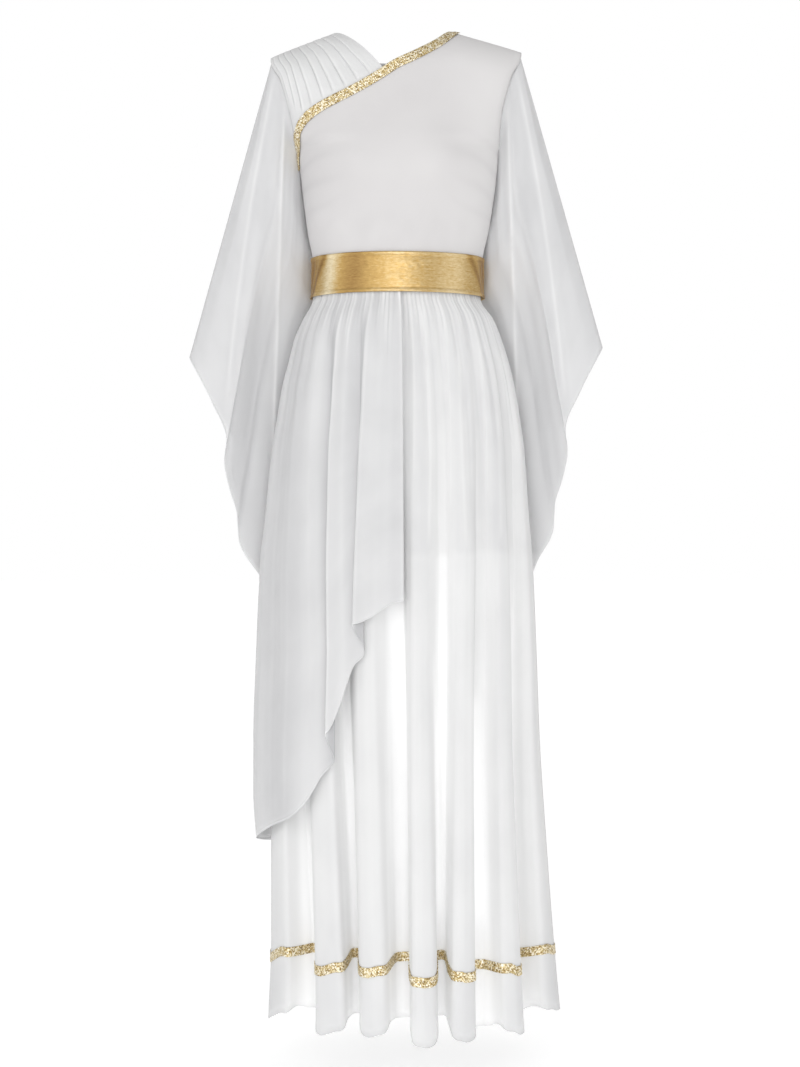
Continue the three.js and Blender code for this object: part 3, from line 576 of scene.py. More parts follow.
def makeBodiceFront():
    panel = bodiceFrontPatch()

    def surface(across, down):
        x, z = panel(across, 1 - down)
        depth = figureDepth(x, z, -1)
        armEdge = edgeBinding((1 - across) * bodice["width"]) * ease(0.53, 0.5, down)
        drag = dragLines(x, z)
        # painted shade in the pulls, painted light on the +x side and painted shade on the -x side
        tone = -0.25 * drag / bodice["dragHeight"] + 0.25 * ease(60, 140, x) - 0.2 * ease(-80, -140, x)
        return (x, -depth + (drag - armEdge) * ease(0, 12, depth), z, tone)

    piece = clothPiece("bodiceFront", surface, 150, 90, {
        "cut": (0.42, 0.37), "slot": "knit", "node": "bodice_front", "thick": bodice["thick"],
        "keep": inFront, "smooth": 2,
    })


def makeBodiceBack():
    shoulder, neck = 5, 12
    first = shoulder / (neck + 2 * shoulder)
    second = 1 - first

    def top(across):
        if across < first:
            return seamLine("left", 1 - across / first)
        if across > second:
            return seamLine("right", (across - second) / first)
        turn = math.pi * (across - first) / (second - first)
        drop = bodice["backNeckDrop"] * math.sin(turn) ** 0.8
        return (-neckSide["x"] * math.cos(turn), neckSide["z"] - drop)

    panel = patch(waistLine, top, sideAndArmhole("left"), sideAndArmhole("right"))

    def surface(across, down):
        x, z = panel(across, 1 - down)
        depth = figureDepth(x, z, 1)
        arm = edgeBinding(min(across, 1 - across) * bodice["width"]) * ease(0.53, 0.5, down)
        neckline = edgeBinding(down * bodice["height"])
        neckline *= ease(first, first + 0.03, across) * ease(second, second - 0.03, across)
        drag = dragLines(x, z - 40)
        # painted shade in the pulls
        tone = -0.25 * drag / bodice["dragHeight"]
        return (x, depth + (max(arm, neckline) - drag) * ease(0, 12, depth), z, tone)

    piece = clothPiece("bodiceBack", surface, 140, 80, {
        "cut": (0.42, 0.38), "slot": "knit", "node": "bodice_back", "thick": bodice["thick"],
        "keep": behind, "inside": True, "smooth": 2,
    })


# Pleated yoke: tucks run from the shoulder seam down to the diagonal
yoke = {
    "thick": 0.9,
    # where each tuck's edge lies, as a share of the way from the armhole to the neck
    "tucks": [0.05, 0.13, 0.21, 0.31, 0.43, 0.53, 0.64, 0.76, 0.88],
    "heights": [1.9, 2.6, 2.8, 2.2, 3.0, 2.4, 2.8, 2.2, 2.0],
    "neckBow": 5,
}


def tuckHeight(across):
    # each tuck steps up at its edge and slopes away to the next: its height, and its tone, painted shade just
    # before the edge and a painted highlight just past it
    edges = [*yoke["tucks"], 1.02]
    for start, end, height in zip(edges, edges[1:], yoke["heights"]):
        if start - 0.012 <= across < end - 0.012:
            share = clamp((across - start) / (end - start), 0, 1)
            dark = ridge(across - start + 0.006, 0.007)
            light = ridge(across - start - 0.012, 0.01)
            tone = (0.4 * light - 0.5 * dark) * height / 2.5
            return height * min(share / 0.06, 1) * (1 - share) ** 0.8, tone
    return 0, 0


def makeYoke():
    def along(across):
        return besideDiagonal(across * yokeShare, seamGap)

    def armEdge(up):
        z = mix(along(0)[1], shoulderTip["left"]["z"], up)
        x = mix(sideSeam("left", z)[0], shoulderTip["left"]["x"], ease(0.7, 1, up))
        return (mix(along(0)[0], x, ease(0, 0.1, up)), z)

    def neckEdge(up):
        return (mix(along(1)[0], -neckSide["x"], up),
                mix(along(1)[1], neckSide["z"], up) + yoke["neckBow"] * math.sin(math.pi * up))

    panel = patch(along, lambda across: seamLine("left", 1 - across), armEdge, neckEdge)

    def surface(across, down):
        x, z = panel(across, 1 - down)
        fade = mix(0.6, 0.95, ease(0, 0.25, across))
        shift = 0.012 * wander(across * 5, down * 2, 3)
        pleated = (1 - ease(fade - 0.12, fade, down)) * ease(0, 0.04, across) * ease(0, 0.03, down)
        ripple = 0.4 * wander(across * 60, down * 3, 7)
        depth = figureDepth(x, z, -1)
        height, tone = tuckHeight(across + shift)
        return (x, -depth - (height + ripple) * pleated * ease(0, 20, depth), z, tone * pleated)

    piece = clothPiece("shoulderYoke", surface, 300, 60, {
        "cut": (0.3, 0.16), "slot": "yoke_chiffon", "node": "shoulder_yoke",
        "thick": yoke["thick"], "keep": inFront,
    })


# Gold braid: a raised weave of slanting loops, lying on the cloth
braidForm = {"width": 14, "thick": 0.8, "lift": 1.6, "tail": 26, "loop": 3.4, "loopHeight": 0.55}


def braidRelief(along, across):
    # along in millimetres, across from -1 to 1: three rows of slanting loops between two corded edges
    row = abs(across) * 1.5
    slant = along / braidForm["loop"] + (0.5 if across > 0 else 0) + 0.35 * row
    loops = abs(math.sin(math.pi * slant)) * abs(math.cos(math.pi * row))
    uneven = 0.2 * wander(along * 0.4, across * 3, 1)
    edge = ease(0.8, 0.9, abs(across)) * (0.6 + 0.4 * math.sin(2 * math.pi * along / 1.6))
    return braidForm["loopHeight"] * (max(loops, edge) + uneven)


def makeNeckBraid():
    whole = braidForm["tail"] + diagonalLength
    half = braidForm["width"] / 2

    def base(along, across):
        share = (along * whole - braidForm["tail"]) / diagonalLength
        narrow = mix(0.12, 1, ease(-0.12, 0.17, share))
        width = narrow * mix(half, -half, across)
        if share < 0:
            x, z = sideSeam("left", underarmZ)[0] - width, underarmZ + share * diagonalLength
        else:
            x, z = besideDiagonal(min(share, 1), width)
        x = max(x, -(abs(sideSeam("left", z)[0]) - narrow * half + width))
        z = min(z, shoulderSeam(x) - 0.5)
        return Vector((x, -figureDepth(x, z, -1), z))

    def surface(along, across):
        point = base(along, across)
        ahead = base(min(along + 0.004, 1), across) - base(max(along - 0.004, 0), across)
        side = base(along, min(across + 0.05, 1)) - base(along, max(across - 0.05, 0))
        normal = side.cross(ahead).normalized()
        if normal.y > 0:
            normal.negate()
        raised = braidForm["lift"] + braidRelief(along * whole, 1 - 2 * across)
        return (*(point + normal * raised), -0.5 * ease(0.1, 0.03, along))

    piece = clothPiece("neckBraid", surface, 520, 16, {
        "cut": (0.43, 0.014), "slot": "braid", "node": "neck_braid", "thick": braidForm["thick"],
        "keep": inFront,
    })


# Upright ovals, for the belt, the skirt and what hangs with it
def ovalAt(rows, z):
    return [rows[name](z) for name in ("left", "right", "front", "back")]


def ovalPoint(angle, left, right, front, back, share, inset, z):
    sine, cosine = math.sin(math.radians(angle)), math.cos(math.radians(angle))
    x = sine * (left if sine < 0 else right) * share
    y = -cosine * (front if cosine > 0 else back) * share
    reach = math.hypot(x, y)
    return (x * (1 - inset / reach), y * (1 - inset / reach), z)


belt = {
    "top": -322, "bottom": -381, "thick": 1.2,
    # soft creases near the side seams, as angle, slant over the belt's height, width and depth
    "creases": table("angle slant width depth", (-79, 13, 4.5, 2.4), (-71, 9, 3, 1.5), (74, -8, 3.2, 1.6),
                     (82, -12, 4.5, 2.4), (118, 6, 5, 1.5), (-124, -7, 5, 1.5), (168, 4, 7, 1.0)),
    # painted reflection and shade on the foil, as angle, slant over the belt's height, width and tone
    "tones": table("angle slant width tone", (-84, 12, 9, -0.4), (-66, 22, 3.5, -0.7), (-50, 4, 7, 0.65),
                   (-29, 3, 10, -0.45), (6, 0, 12, 0.1), (41, 0, 15, 0.25), (66, -22, 3.5, -0.6),
                   (82, -8, 8, -0.4), (150, 5, 16, -0.4), (-140, 4, 14, 0.4)),
}
beltRing = sections(
    "z left right front back",
    (-381, 129, 134, 94.5, 88), (-350, 127.8, 133, 93.2, 86.4), (-322, 127.8, 132.8, 91.9, 86),
)


def beltPaintedReflection(angle, down, inset):
    # painted reflection and shade: the foil is bright on the wearer's right, with a dull band beside that and
    # darker ends, painted darker where the cloth sinks in, and a little uneven at random
    tone = sum(line["tone"] * ridge(angle - line["angle"] - line["slant"] * (0.5 - down), line["width"])
               for line in belt["tones"])
    return tone - 0.15 * (inset - 0.2) + 0.15 * wander(angle * 0.12, down * 26, 2)


def makeBelt():
    def surface(around, down):
        angle = 360 * around - 180
        z = mix(belt["top"], belt["bottom"], down)
        inset = 0.35 * wander(angle * 0.05, down * 2.5, 5) + 0.25 * wander(angle * 0.35, down * 9, 8)
        for fold in belt["creases"]:
            centre = fold["angle"] + fold["slant"] * (0.5 - down)
            aside = (angle - centre + 180) % 360 - 180
            arch = math.sin(math.pi * clamp(down, 0.04, 0.96)) ** 0.5
            inset += fold["depth"] * ridge(aside, fold["width"]) * arch
        edge = min(down, 1 - down) * (belt["top"] - belt["bottom"])
        inset -= 0.7 * ease(5.5, 4.5, edge) - 0.6 * ridge(edge - 6, 0.8)  # turned edge and its stitching
        return (*ovalPoint(angle, *ovalAt(beltRing, z), 1, inset + 0.7, z), beltPaintedReflection(angle, down, inset))

    piece = clothPiece("goldBelt", surface, 480, 36, {
        "cut": (0.7, 0.06), "slot": "belt_foil", "node": "belt", "thick": belt["thick"],
        "closed": True,
    })


# Skirt
skirtSections = sections(
    "z left right front back",
    (-350, 121.5, 126.5, 88, 81), (-382, 121.5, 127, 88, 82), (-413, 133, 147, 97, 94),
    (-444, 145, 159, 105, 104), (-479, 153, 170, 111, 112), (-513, 161, 178, 116, 119),
    (-561, 168, 186, 122, 126), (-603, 173, 192, 127, 131), (-700, 180, 199, 136, 141),
    (-773, 184, 205, 142, 148), (-908, 187, 211, 153, 158), (-1043, 187.5, 216, 163, 168),
    (-1190, 187.5, 225.5, 173, 178), (-1350, 187.5, 237.5, 183, 187), (-1450, 191.5, 246.5, 190, 193),
)
skirt = {
    "thick": 0.8, "hemRadius": 200, "hemTurn": 11,
    "braidRise": 90,  # of the gold braid over the hem
    "frontGathers": 18, "backGathers": 15, "creaseHeight": 1.2,
}
# A fold's edge either turns under, which leaves it crisp, or rolls open into the hollow beside it. under and
# open are shares of the hollow's width, turned the way that the edge's column says: -1 under, 1 open.
foldColumns = "from to valley leftWay rightWay left right rise"
frontFolds = table(
    foldColumns,
    (-88, -55, 0.36, 1, 0.5, -5, 20, 22),
    (-38.6, -21, 0.38, -0.5, 1, 3, 12, 24),
    (-16, -2.4, 0.38, -0.5, 1, 7, 11, 20),
    (4.4, 14.6, 0.36, -0.5, -0.4, -7, -8, 22),
    (18, 28.5, 0.26, 0.6, -0.4, -1, -3, 6),
    (38.5, 51.5, 0.34, 1, -0.4, 4, -3, 10),
    (64, 88, 0, -0.2, 1, 19, 6, 0),
)
backFolds = table(
    foldColumns,
    (92, 112, 0.34, 1, -0.4, 6, 10, 16),
    (124, 138, 0.4, 1, -0.4, 0, 2, 18),
    (146, 158, 0.42, 1, -0.4, 2, -2, 17),
    (165, 178, 0.4, -0.4, -0.4, -4, -2, 19),
    (186, 200, 0.42, -0.4, 1, 2, 4, 17),
    (208, 223, 0.36, -0.4, 1, 0, 3, 14),
    (236, 268, 0, -0.2, 1, 10, -5, 0),
)
# From a fold's face out to its edge, then on into the hollow: degrees in from the edge, share of the turn,
# how deep in the hollow, how far the hem has risen towards it, and how many millimetres its corner lifts
foldEdge = table(
    "inside turn depth rise lift",
    (4.4, 0, 0.02, 0.01, 0), (2.4, 0, 0.05, 0.03, 1), (0.9, 0, 0.13, 0.1, 4.5), (0, 0.1, 0.34, 0.42, 9),
    (0, 0.42, 0.64, 0.82, 4), (0, 0.8, 0.92, 0.98, 0.5),
)


def straightBack(angle, depth):
    # hollows in front and behind run straight back from the faces, those at the sides straight in
    turn = math.radians(angle)
    sine, cosine = math.sin(turn), math.cos(turn)
    facing = cosine * cosine
    x = sine * (1 - depth * (1 - facing))
    y = cosine - depth * mix(cosine, math.copysign(1, cosine), facing)
    straight = math.degrees(math.atan2(x, y))
    return straight + round((angle - straight) / 360) * 360, math.hypot(x, y)


def foldPoints(folds, start, end):
    # the cloth's path at the hem: rounded faces joined by steep walls into the hollows
    points = [{"angle": start, "rho": 1, "hem": folds[0]["left"], "lift": 0}]

    def edge(fold, side, hollow):
        middle, half = (fold["from"] + fold["to"]) / 2, (fold["to"] - fold["from"]) / 2
        sign = -1 if side == "left" else 1
        way = fold[side + "Way"] * hollow["wide"]
        way *= 0.55 if way > 0 else 1  # two edges that open meet in the middle of their hollow
        made = []
        for row in foldEdge:
            angle = middle + sign * (half - row["inside"] + row["turn"] * way)
            angle, rho = straightBack(angle, hollow["deep"] * row["depth"])
            made.append({"angle": angle, "rho": rho, "hem": mix(fold[side], hollow["rise"], row["rise"]),
                         "lift": row["lift"]})
        return made

    for before, fold, after in zip([None, *folds], folds, [*folds[1:], None]):
        if before:
            hollow = {"wide": fold["from"] - before["to"], "deep": before["valley"], "rise": before["rise"]}
            points += reversed(edge(fold, "left", hollow))
        else:
            points.append({"angle": fold["from"] + 3, "rho": 1, "hem": fold["left"], "lift": 0})
        points.append({"angle": (fold["from"] + fold["to"]) / 2, "rho": 1,
                       "hem": mix(fold["left"], fold["right"], 0.5), "lift": 0})
        if after:
            hollow = {"wide": after["from"] - fold["to"], "deep": fold["valley"], "rise": fold["rise"]}
            points += edge(fold, "right", hollow)
            bottom = mix(fold["to"], after["from"], 0.5 + 0.2 * (fold["rightWay"] - after["leftWay"]))
            angle, rho = straightBack(bottom, fold["valley"])
            points.append({"angle": angle, "rho": rho, "hem": fold["rise"], "lift": 0})
    points.append({"angle": end, "rho": 1, "hem": folds[-1]["right"], "lift": 0})
    along, before = 0, None
    for point in points:
        angle = math.radians(point["angle"])
        place = Vector((math.sin(angle), math.cos(angle))) * point["rho"] * skirt["hemRadius"]
        along += (place - before).length if before else 0
        point["along"] = along
        before = place
    return points


# Lining: a short plain slip inside the skirt, which shows through the sheer cloth; above where it ends the
# skirt also has painted shade
lining = {"thick": 0.8, "hem": -762, "inset": 0.46}

# Creases seen in the skirt: top, middle and foot, then width, height and tone, painted light above 0 and shade
# below
frontCreases = drawnLines(
    (39, -407, 50, -584, 48, -742, 2.6, 1.2, 0.7), (48, -406, 59, -584, 58, -742, 4, -0.6, -0.35),
    (92, -469, 97, -607, 102, -742, 2.6, 1.2, 0.6), (102, -469, 107, -606, 113, -742, 4, -0.8, -0.35),
    (157, -464, 181, -580, 198, -743, 8, 1.5, 0.6), (149, -560, 153, -640, 154, -734, 2.6, 1, 0.5),
    (139, -538, 143, -641, 144, -771, 5, -0.8, -0.35), (71, -437, 77, -540, 78, -685, 2.4, 0.8, 0.4),
    (123, -457, 130, -553, 132, -670, 2.4, 0.9, 0.45), (23, -423, 26, -541, 25, -642, 2.4, 0.7, 0.35),
    (53, -908, 59, -1097, 63, -1286, 4, 1, 0.7), (112, -972, 117, -1156, 120, -1290, 9, 1.2, 0.6),
    (138, -973, 141, -1158, 142, -1292, 9, -1.2, -0.45),
)
backCreases = drawnLines(
    (-150, -420, -158, -560, -150, -760, 3, 1.2, 0.6), (-90, -400, -98, -600, -92, -820, 4, 1.2, 0.6),
    (-30, -410, -36, -560, -30, -700, 3, 1, 0.5), (40, -400, 44, -600, 38, -900, 4, -1.2, -0.45),
    (85, -400, 92, -560, 90, -760, 3, 1.2, 0.6), (140, -420, 156, -600, 165, -850, 8, 1.4, 0.5),
    (-60, -800, -66, -1000, -70, -1300, 6, 1, 0.5), (60, -780, 64, -1000, 70, -1320, 8, -1.2, -0.4),
    (120, -760, 128, -980, 136, -1300, 8, 1.2, 0.5),
)


def foldGrowth(level):
    # the folds deepen from the waist, 0, to the hem, 1
    return level ** 1.15


def trough(turn, sharpness):
    return (0.5 - 0.5 * math.cos(2 * math.pi * turn)) ** sharpness


def fineLine(*place):
    # the gathers' fine edges under the belt: fine grooves painted dark, with raised cloth painted lighter
    # between them
    return 0.4 - ridge(wander(*place), 0.14)


def fineReach(*place):
    # how far down the skirt each of them runs, as a share of its length
    return 0.05 + 0.08 * wander(*place)


def gatherDepth(level):
    # the gathers are deepest just under the belt and are spent a third of the way down
    spent = ease(0.1, 0.34, level)
    return 1.4 + 2 * ease(0.02, 0.07, level) * (1 - spent) - 1.4 * spent


def skirtSurface(folds, start, end, gathers, seed):
    points = foldPoints(folds, start, end)
    length = points[-1]["along"]
    curves = [through(points, "along", name) for name in ("angle", "rho", "hem", "lift")]

    @cache
    def column(across):
        # what depends on the place round the skirt alone is worked out once
        uneven = 0.5 + 0.5 * wander(across * gathers * 0.9, seed, 2)
        turn = across * gathers + 0.28 * wander(across * gathers * 0.7, seed, 6)
        return (*(curve(across * length) for curve in curves), trough(turn, 1.4) * mix(0.55, 1, uneven),
                fineLine(across * gathers * 3.4, seed, 9), fineReach(across * 31, seed, 14))

    def surface(across, down):
        hemAngle, rho, hem, lift, gather, fine, reach = column(across)
        z = mix(waistZ - seamGap, hemZ + hem, down) + lift * ease(0.94, 1, down)
        level = clamp((waistZ - z) / (waistZ - hemZ), 0, 1)
        angle = mix(mix(start, end, across), hemAngle, level)
        inset = gatherDepth(level) * gather
        # long soft creases that wander between the folds
        streak = wander(across * 38, level * 1.3, seed) + 0.6 * wander(across * 84, level * 2.1, seed + 5)
        inset += skirt["creaseHeight"] * (0.5 - 0.5 * streak) * ease(0.02, 0.12, level) * mix(1, 0.15, level)
        edge = (1 - down) * (waistZ - hemZ)
        if edge < 2 * skirt["hemTurn"]:
            inset += 0.5 * ease(skirt["hemTurn"] - 1, skirt["hemTurn"], edge)
        else:
            inset += 0.5
        inset *= min(1, across / 0.004, (1 - across) / 0.004)
        share = 1 - (1 - rho) * foldGrowth(level)
        x, y, z = ovalPoint(angle, *ovalAt(skirtSections, z), share, inset, z)
        height, drawn = (frontCreases if start < 0 else backCreases)(x, z)
        # painted light and shade: fine dark lines for the gathers near the waist, light and shade along the
        # creases, and lighter hollows, standing in for light through the cloth
        near = ease(0, 0.012, level) * ease(0.05 + reach, 0.02 + 0.5 * reach, level)
        tone = near * (0.2 - 0.25 * gather + 0.6 * fine) + 0.15 * streak + 0.4 * drawn
        tone += 0.7 * ease(0, 0.17, 1 - share)
        # painted shade on the skirt above the lining's hem
        tone -= 0.25 * ease(lining["hem"] - 4, lining["hem"] + 6, z)  # where the lining shows through
        tone -= 0.35 * ease(0.8, 0.97, level) * ease(0.93, 1, share)  # faces darken towards the hem
        height += near * fine
        return (x, y + (height if start > 0 else -height), z, tone)

    return surface, length


def hemBraid(name, node, surface, length, keep):
    half = braidForm["width"] / 2
    fall = waistZ - hemZ

    def form(across, down):
        level = 1 - (skirt["braidRise"] + mix(half, -half, down)) / fall
        point, before, after, below = (
            Vector(surface(clamp(across + aside, 0, 1), level + under)[:3])
            for aside, under in ((0, 0), (-0.0015, 0), (0.0015, 0), (0, 0.004))
        )
        normal = (after - before).cross(point - below).normalized()
        raised = braidForm["thick"] + 0.2 + braidRelief(across * length, 1 - 2 * down)
        return (*(point + normal * raised), 0)

    return clothPiece(name, form, 1000, 12, {
        "cut": (length * mm, 0.014), "slot": "braid", "node": node, "thick": braidForm["thick"],
        "keep": keep,
    })


def makeSkirt(name, node, braidName, braidNode, folds, start, gathers, columns, seed, keep):
    surface, length = skirtSurface(folds, start, start + 180, gathers, seed)
    piece = clothPiece(name, surface, columns, 100, {
        "cut": (1.4, 1.1), "slot": "skirt_chiffon", "node": node, "thick": skirt["thick"],
        "keep": keep, "rows": lambda share: mix(share, share * share, 0.25),
    })
    trim = hemBraid(braidName, braidNode, surface, length, keep)


def makeLining():
    reach = (waistZ - lining["hem"]) / (waistZ - hemZ)

    def surface(around, down):
        level = down * reach
        z = mix(waistZ - seamGap, hemZ, level)
        clear = 3 + 4.5 * ease(0, 0.08, level)
        clear += 0.8 * wander(around * 22, level * 3, 12) * ease(0, 0.1, level)
        share = 1 - lining["inset"] * foldGrowth(level)
        return (*ovalPoint(360 * around - 180, *ovalAt(skirtSections, z), share, clear, z), 0)

    piece = clothPiece("skirtLining", surface, 180, 50, {
        "cut": (0.8, 0.41), "slot": "knit", "node": "skirt_lining", "thick": lining["thick"],
        "closed": True,
    })


# Overskirt: knife pleats at its front edge, then soft folds round the side to the centre back
overskirtForm = {
    "thick": 0.7, "gathers": 17, "creaseHeight": 1.2,
    "setLevel": -900,  # the height where the pleats have their full set
    "levelShare": 0.3, "levelRow": 0.181,  # this share of its rows run level, over this share of the skirt
}
overSections = sections(
    "z left front back",
    (-350, 124.2, 90.7, 83.7), (-382, 124.4, 90.9, 84.9), (-413, 139.5, 104, 101), (-444, 153, 115, 114),
    (-479, 162, 124, 123), (-513, 171, 130, 131), (-561, 179, 136, 138), (-603, 186, 141, 143),
    (-700, 196, 150, 153), (-773, 204, 156, 160), (-908, 210.5, 167, 170), (-1043, 214.5, 177, 180),
    (-1118, 214.5, 182, 185), (-1190, 210, 187, 190),
)
# Each pleat from its start to its folded edge and the tuck behind it, as angles and heights of the hem.
# deep and face are how far inside the outermost cloth it starts and its face lies; shaded is the painted shade
# where it starts, under the pleat before
overPleats = table(
    "from edge tuck deep face shaded hemFrom hemEdge hemTuck",
    (3.2, -18, 5, 7, 0, -0.2, -829, -863, -896),
    (-13, -29, 3.6, 8, 2, -0.4, -903, -1020, -1056),
)
# soft folds round to the back, with the painted light and shade on them as their tone
overSide = table(
    "angle inset hem tone",
    (-27, 10, -1064, -0.6), (-31, 6.5, -1080, 0), (-33.5, 4, -1096, 0.2), (-37, 1, -1116, 0.1),
    (-46, 0, -1142, -0.3), (-60, 4, -1158, -0.4), (-74, 0, -1176, 0), (-90, 0, -1190, 0.1),
    (-104, 5, -1199, -0.3), (-117, 0, -1204, 0.2), (-129, 8, -1176, -0.5), (-141, 0, -1110, 0.2),
    (-153, 9, -1024, -0.5), (-165, 0, -946, 0.2), (-177, 2, -878, 0),
)


def overskirtPath():
    points = []

    def add(angle, inset, hem, tone):
        points.append({"angle": angle, "inset": inset, "hem": hem, "tone": tone})

    for pleat in overPleats:
        deep, face, shaded = pleat["deep"], pleat["face"], pleat["shaded"]
        wide = pleat["edge"] - pleat["from"]
        # each row's tone is painted shade where the pleat starts under the one before and painted light at its
        # edge
        rows = ((0, deep, 0, shaded), (0.25, mix(deep, face, 0.35), 0.16, shaded / 2), (0.55, face, 0.6, 0.1),
                (0.88, face + 0.3, 0.95, 0.1), (0.96, face + 0.8, 0.98, 0.3), (1, face + 2.6, 1, 0.3))
        for share, inset, drop, tone in rows:
            add(pleat["from"] + wide * share, inset, mix(pleat["hemFrom"], pleat["hemEdge"], drop), tone)
        # the tuck behind the edge is painted dark, as shade under the fold
        halfTuck = mix(pleat["hemEdge"], pleat["hemTuck"], 0.45)
        add(pleat["edge"] + pleat["tuck"] * 0.4, face + 5.2, halfTuck, -1)
        add(pleat["edge"] + pleat["tuck"], face + 6.4, pleat["hemTuck"], -1)
    for row in overSide:
        add(row["angle"], row["inset"], row["hem"], row["tone"])
    along, before = 0, points[0]
    for point in points:
        turn = math.radians(point["angle"] - before["angle"])
        along += math.hypot(skirt["hemRadius"] * turn, point["inset"] - before["inset"])
        point["along"] = along
        before = point
    return points


def makeOverskirt():
    points = overskirtPath()
    length = points[-1]["along"]
    curves = [through(points, "along", name) for name in ("angle", "inset", "hem", "tone")]
    first, last = points[0]["angle"], points[-1]["angle"]
    levelZ = mix(waistZ - seamGap, hemZ, overskirtForm["levelRow"])

    @cache
    def column(across):
        turn = across * overskirtForm["gathers"] + 0.25 * wander(across * 11, 3, 4)
        return (*(curve(across * length) for curve in curves), trough(turn, 1.3),
                fineLine(across * 72, 8, 3), fineReach(across * 37, 3, 11))

    def surface(around, down):
        across = 1 - around
        pleatAngle, pleatInset, hem, pleatTone, wave, fine, reach = column(across)
        share = overskirtForm["levelShare"]
        if down < share:
            z = mix(waistZ - seamGap, levelZ, down / share)
        else:
            z = mix(levelZ, hem, (down - share) / (1 - share))
        pleated = clamp((waistZ - z) / (waistZ - overskirtForm["setLevel"]), 0, 1)
        angle = mix(mix(first, last, across), pleatAngle, pleated)
        level = (waistZ - z) / (waistZ - hemZ)
        spent = ease(0.1, 0.3, level)
        gather = 0.8 + 1.7 * ease(0.04, 0.08, level) * (1 - spent) - 0.8 * spent
        inset = pleatInset * ease(0.1, 0.35, pleated) + gather * wave
        streak = wander(across * 30, level * 1.5, 21) + 0.6 * wander(across * 70, level * 2.5, 27)
        inset += overskirtForm["creaseHeight"] * (0.5 - 0.5 * streak) * ease(0.08, 0.2, level)
        right = skirtSections["right"](z) + 2 + 8 * ease(0.04, 0.2, pleated)
        near = ease(0, 0.012, level) * ease(0.05 + reach, 0.02 + 0.5 * reach, level)
        inset -= near * fine
        # painted shade in the tucks and between the gathers, painted light and shade along the creases, a
        # painted light line at the front edge, and the whole a little lighter
        tone = pleatTone * ease(0.08, 0.2, pleated) + near * (0.15 - 0.25 * wave + 0.6 * fine)
        tone += 0.2 + 0.15 * streak + 0.2 * ease(0.012, 0.003, across)
        left, front, back = (overSections[name](z) for name in ("left", "front", "back"))
        return (*ovalPoint(angle, left, right, front, back, 1, inset, z), tone)

    piece = clothPiece("cascadeOverskirt", surface, 340, 95, {
        "cut": (0.9, 0.85), "slot": "sheer_chiffon", "node": "overskirt",
        "thick": overskirtForm["thick"],
    })


# Winged sleeves
sleeve = {
    "thick": 0.7, "tipY": 38, "spread": 60, "wave": 5, "waves": 2.13, "firstRidge": 0.2, "ripple": 1,
    "raised": {"left": 0, "right": 15},  # the mouth hangs higher on one side
    "underarmClear": {"left": 4.6, "right": 0.9},  # the braid's tail passes under one arm
    "tuck": {"aside": 1.2, "behind": 2.3, "below": 2.6},  # higher up it starts inside the armhole's edge
}
sleeveHem = table(
    "across x z",
    (0, 160, -815), (0.12, 196, -810), (0.2, 214, -789), (0.31, 239, -742), (0.4, 241, -704), (0.5, 251, -667),
    (0.6, 258, -627), (0.7, 255, -592), (0.85, 279, -532), (1, 314, -466),
)
sleeveInner = table(
    "z inset y",
    (-167, -4.6, 1), (-195, 1, 26), (-230, 6, 40), (-300, 7, 48), (-360, 7, 60), (-425, 14, 72), (-505, 19, 89),
    (-600, 22, 102), (-705, 26, 112), (-815, 26, 120),
)
# creases seen in the sleeves, with the painted light and shade along them
sleeveCreases = drawnLines(
    (183, -65, 235, -360, 253, -518, 3.2, 1.2, 0.5), (166, -123, 178, -407, 192, -680, 3, 1.2, 0.5),
    (189, -185, 212, -480, 228, -670, 10, -1.5, -0.2), (212, -180, 246, -380, 268, -540, 7, 1, 0.15),
)
sleeveFold = {name: through(sleeveInner, "z", name) for name in ("inset", "y")}
mouth = {name: through(sleeveHem, "across", name) for name in ("x", "z")}


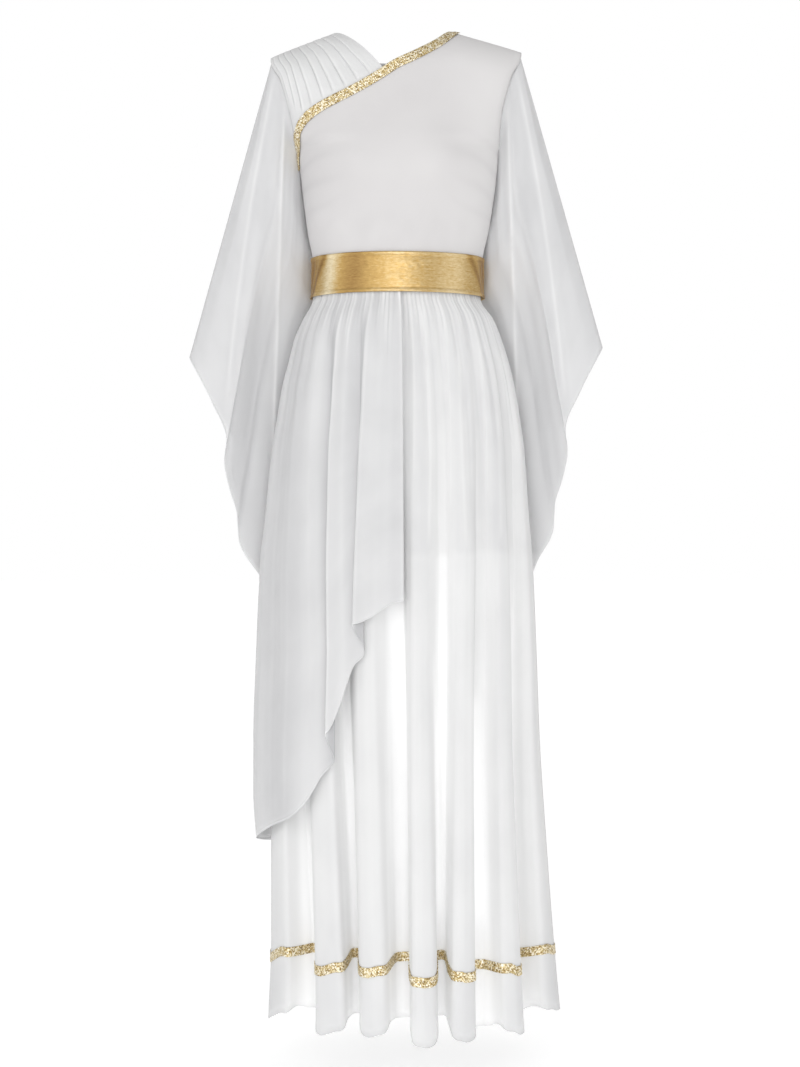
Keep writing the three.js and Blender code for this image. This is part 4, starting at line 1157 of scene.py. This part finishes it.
def sleeveSurface(side):
    sign = -1 if side == "left" else 1
    tip = shoulderTip[side]
    raised = sleeve["raised"][side]
    topZ, lowZ, lowY = sleeveInner[0]["z"], sleeveInner[-1]["z"], sleeveInner[-1]["y"]
    underarm = sleeve["underarmClear"][side]

    def innerAt(share):
        z = mix(topZ, lowZ, share)
        half = body[side](z) if z > waistZ else skirtSections[side](z)
        half -= (sleeve["underarmClear"]["left"] - underarm) * (1 - ease(0, 0.1, share))
        return Vector((half - sleeveFold["inset"](z), sleeveFold["y"](z), z + raised * share))

    def topAt(share, face):
        tuck = sleeve["tuck"]
        above = ease(0.08, 0.3, share)
        z = mix(topZ, tip["z"] - tuck["below"], share ** 1.1)
        half = abs(mix(sideSeam(side, z)[0], tip["x"], ease(0.7, 1, share)))
        depth = (figureDepth(sign * half, z, face) - tuck["behind"] * above) * (1 - ease(0.92, 1, share))
        return Vector((half + mix(underarm, -tuck["aside"], above), face * depth, z))

    def hemAt(share, face):
        x = mouth["x"](share) + (innerAt(1).x - mouth["x"](0)) * (1 - ease(0, 0.25, share))
        spread = face * sleeve["spread"] * math.sin(math.pi * share) ** 0.6
        return Vector((x, mix(lowY, sleeve["tipY"], share) + spread, mouth["z"](share) + raised))

    @cache
    def column(across, face):
        return topAt(across, face), hemAt(across, face)

    def surface(around, down):
        face = -1 if around < 0.5 else 1
        across = clamp(around * 2 if face < 0 else 2 - around * 2, 0, 1)
        start, end = column(across, face)
        (foldTop, foldHem), (tipTop, tipHem) = column(0, face), column(1, face)
        inner = innerAt(down)
        outer = tipTop.lerp(tipHem, down)
        upper = foldTop.lerp(tipTop, across)
        lower = foldHem.lerp(tipHem, across)
        point = start.lerp(end, down) + inner.lerp(outer, across) - upper.lerp(lower, down)
        arch = max(math.sin(math.pi * across), 0) ** 0.7
        turn = 2 * math.pi * sleeve["waves"] * (across - sleeve["firstRidge"]) + (1 if face > 0 else 0)
        ripple = wander(across * 13, down * 1.2, 31 + face + sign)
        height, drawn = sleeveCreases(point.x + (18 if face > 0 else 0), point.z)
        height += sleeve["wave"] * ease(0, 1, down) * math.cos(turn)
        height += sleeve["ripple"] * ease(0, 0.25, down) * ripple
        point.y += face * height * arch
        # painted light and shade along the creases and ripples, and painted light near the inner fold, where
        # the body would shade the sleeve
        tone = drawn + ease(0, 0.35, down) * 0.25 * ripple + 0.5 * ease(0.34, 0.05, across)
        return (sign * point.x, point.y, point.z, tone)

    return surface


def makeSleeve(name, node, side):
    piece = clothPiece(name, sleeveSurface(side), 200, 80, {
        "cut": (1.1, 0.7), "slot": "sheer_chiffon", "node": node,
        "thick": sleeve["thick"], "closed": True, "inside": side == "left",
    })


makeBodiceFront()
makeBodiceBack()
makeYoke()
makeNeckBraid()
makeBelt()
makeSkirt("skirtFront", "skirt_front", "hemBraidFront", "hem_braid_front", frontFolds, -90,
          skirt["frontGathers"], 400, 1, inFront)
makeSkirt("skirtBack", "skirt_back", "hemBraidBack", "hem_braid_back", backFolds, 90,
          skirt["backGathers"], 300, 2, behind)
makeLining()
makeOverskirt()
makeSleeve("sleeveRight", "sleeve_right", "left")
makeSleeve("sleeveLeft", "sleeve_left", "right")

# Studio: a pale floor just under the hem, a white surround and broad soft lights from the front
studio = {
    "floorZ": -1.52, "floorSize": 60, "floorGlow": 0.47,
    "surround": 0.54,  # how brightly the white surround lights the dress
    # soft suns, as strength, spread in degrees and the direction that they come from
    "suns": table("power spread x y z", (0.6, 40, -0.24, -1, 0.36), (0.7, 14, 0.08, -1, 0.02),
                  (0.35, 40, -0.9, -0.5, 0.15), (0.35, 40, 0.9, -0.5, 0.15)),
}


def makeFloor():
    bm = bmesh.new()
    bmesh.ops.create_grid(bm, x_segments=2, y_segments=2, size=studio["floorSize"] / 2)
    mesh = bpy.data.meshes.new("floor")
    bm.to_mesh(mesh)
    bm.free()
    mesh.transform(Matrix.Translation((0, 0, studio["floorZ"])))
    floor = bpy.data.objects.new("floor", mesh)
    bpy.context.collection.objects.link(floor)
    material, tree = newMaterial("pale_floor")
    finishMaterial(tree, addNode(tree, "ShaderNodeBsdfPrincipled", {
        "Base Color": linear(0xF6F6F6), "Roughness": 0.9, "Emission Color": grey(1.0),
        "Emission Strength": studio["floorGlow"],
    }))
    mesh.materials.append(material)


def setSurround():
    # the surround shows pure white behind the dress, and lights it more gently
    world = bpy.data.worlds.new("white_surround")
    bpy.context.scene.world = world
    world.use_nodes = True
    tree = world.node_tree
    tree.nodes.clear()
    path = addNode(tree, "ShaderNodeLightPath")
    strength = addNode(tree, "ShaderNodeMapRange", {"To Min": studio["surround"], "To Max": 1.0},
                       {"Value": (path, "Is Camera Ray")})
    background = addNode(tree, "ShaderNodeBackground", {"Color": grey(1.0)},
                         {"Strength": (strength, "Result")})
    addNode(tree, "ShaderNodeOutputWorld", links={"Surface": (background, "Background")})


def setStudio():
    makeFloor()
    setSurround()
    for i, sun in enumerate(studio["suns"]):
        data = bpy.data.lights.new(f"sun_{i}", "SUN")
        data.energy = sun["power"]
        data.angle = math.radians(sun["spread"])
        light = bpy.data.objects.new(data.name, data)
        light.rotation_euler = Vector((-sun["x"], -sun["y"], -sun["z"])).to_track_quat("-Z", "Y").to_euler()
        bpy.context.collection.objects.link(light)
    bpy.context.scene.view_settings.view_transform = "Standard"


setStudio()
print("studio set")
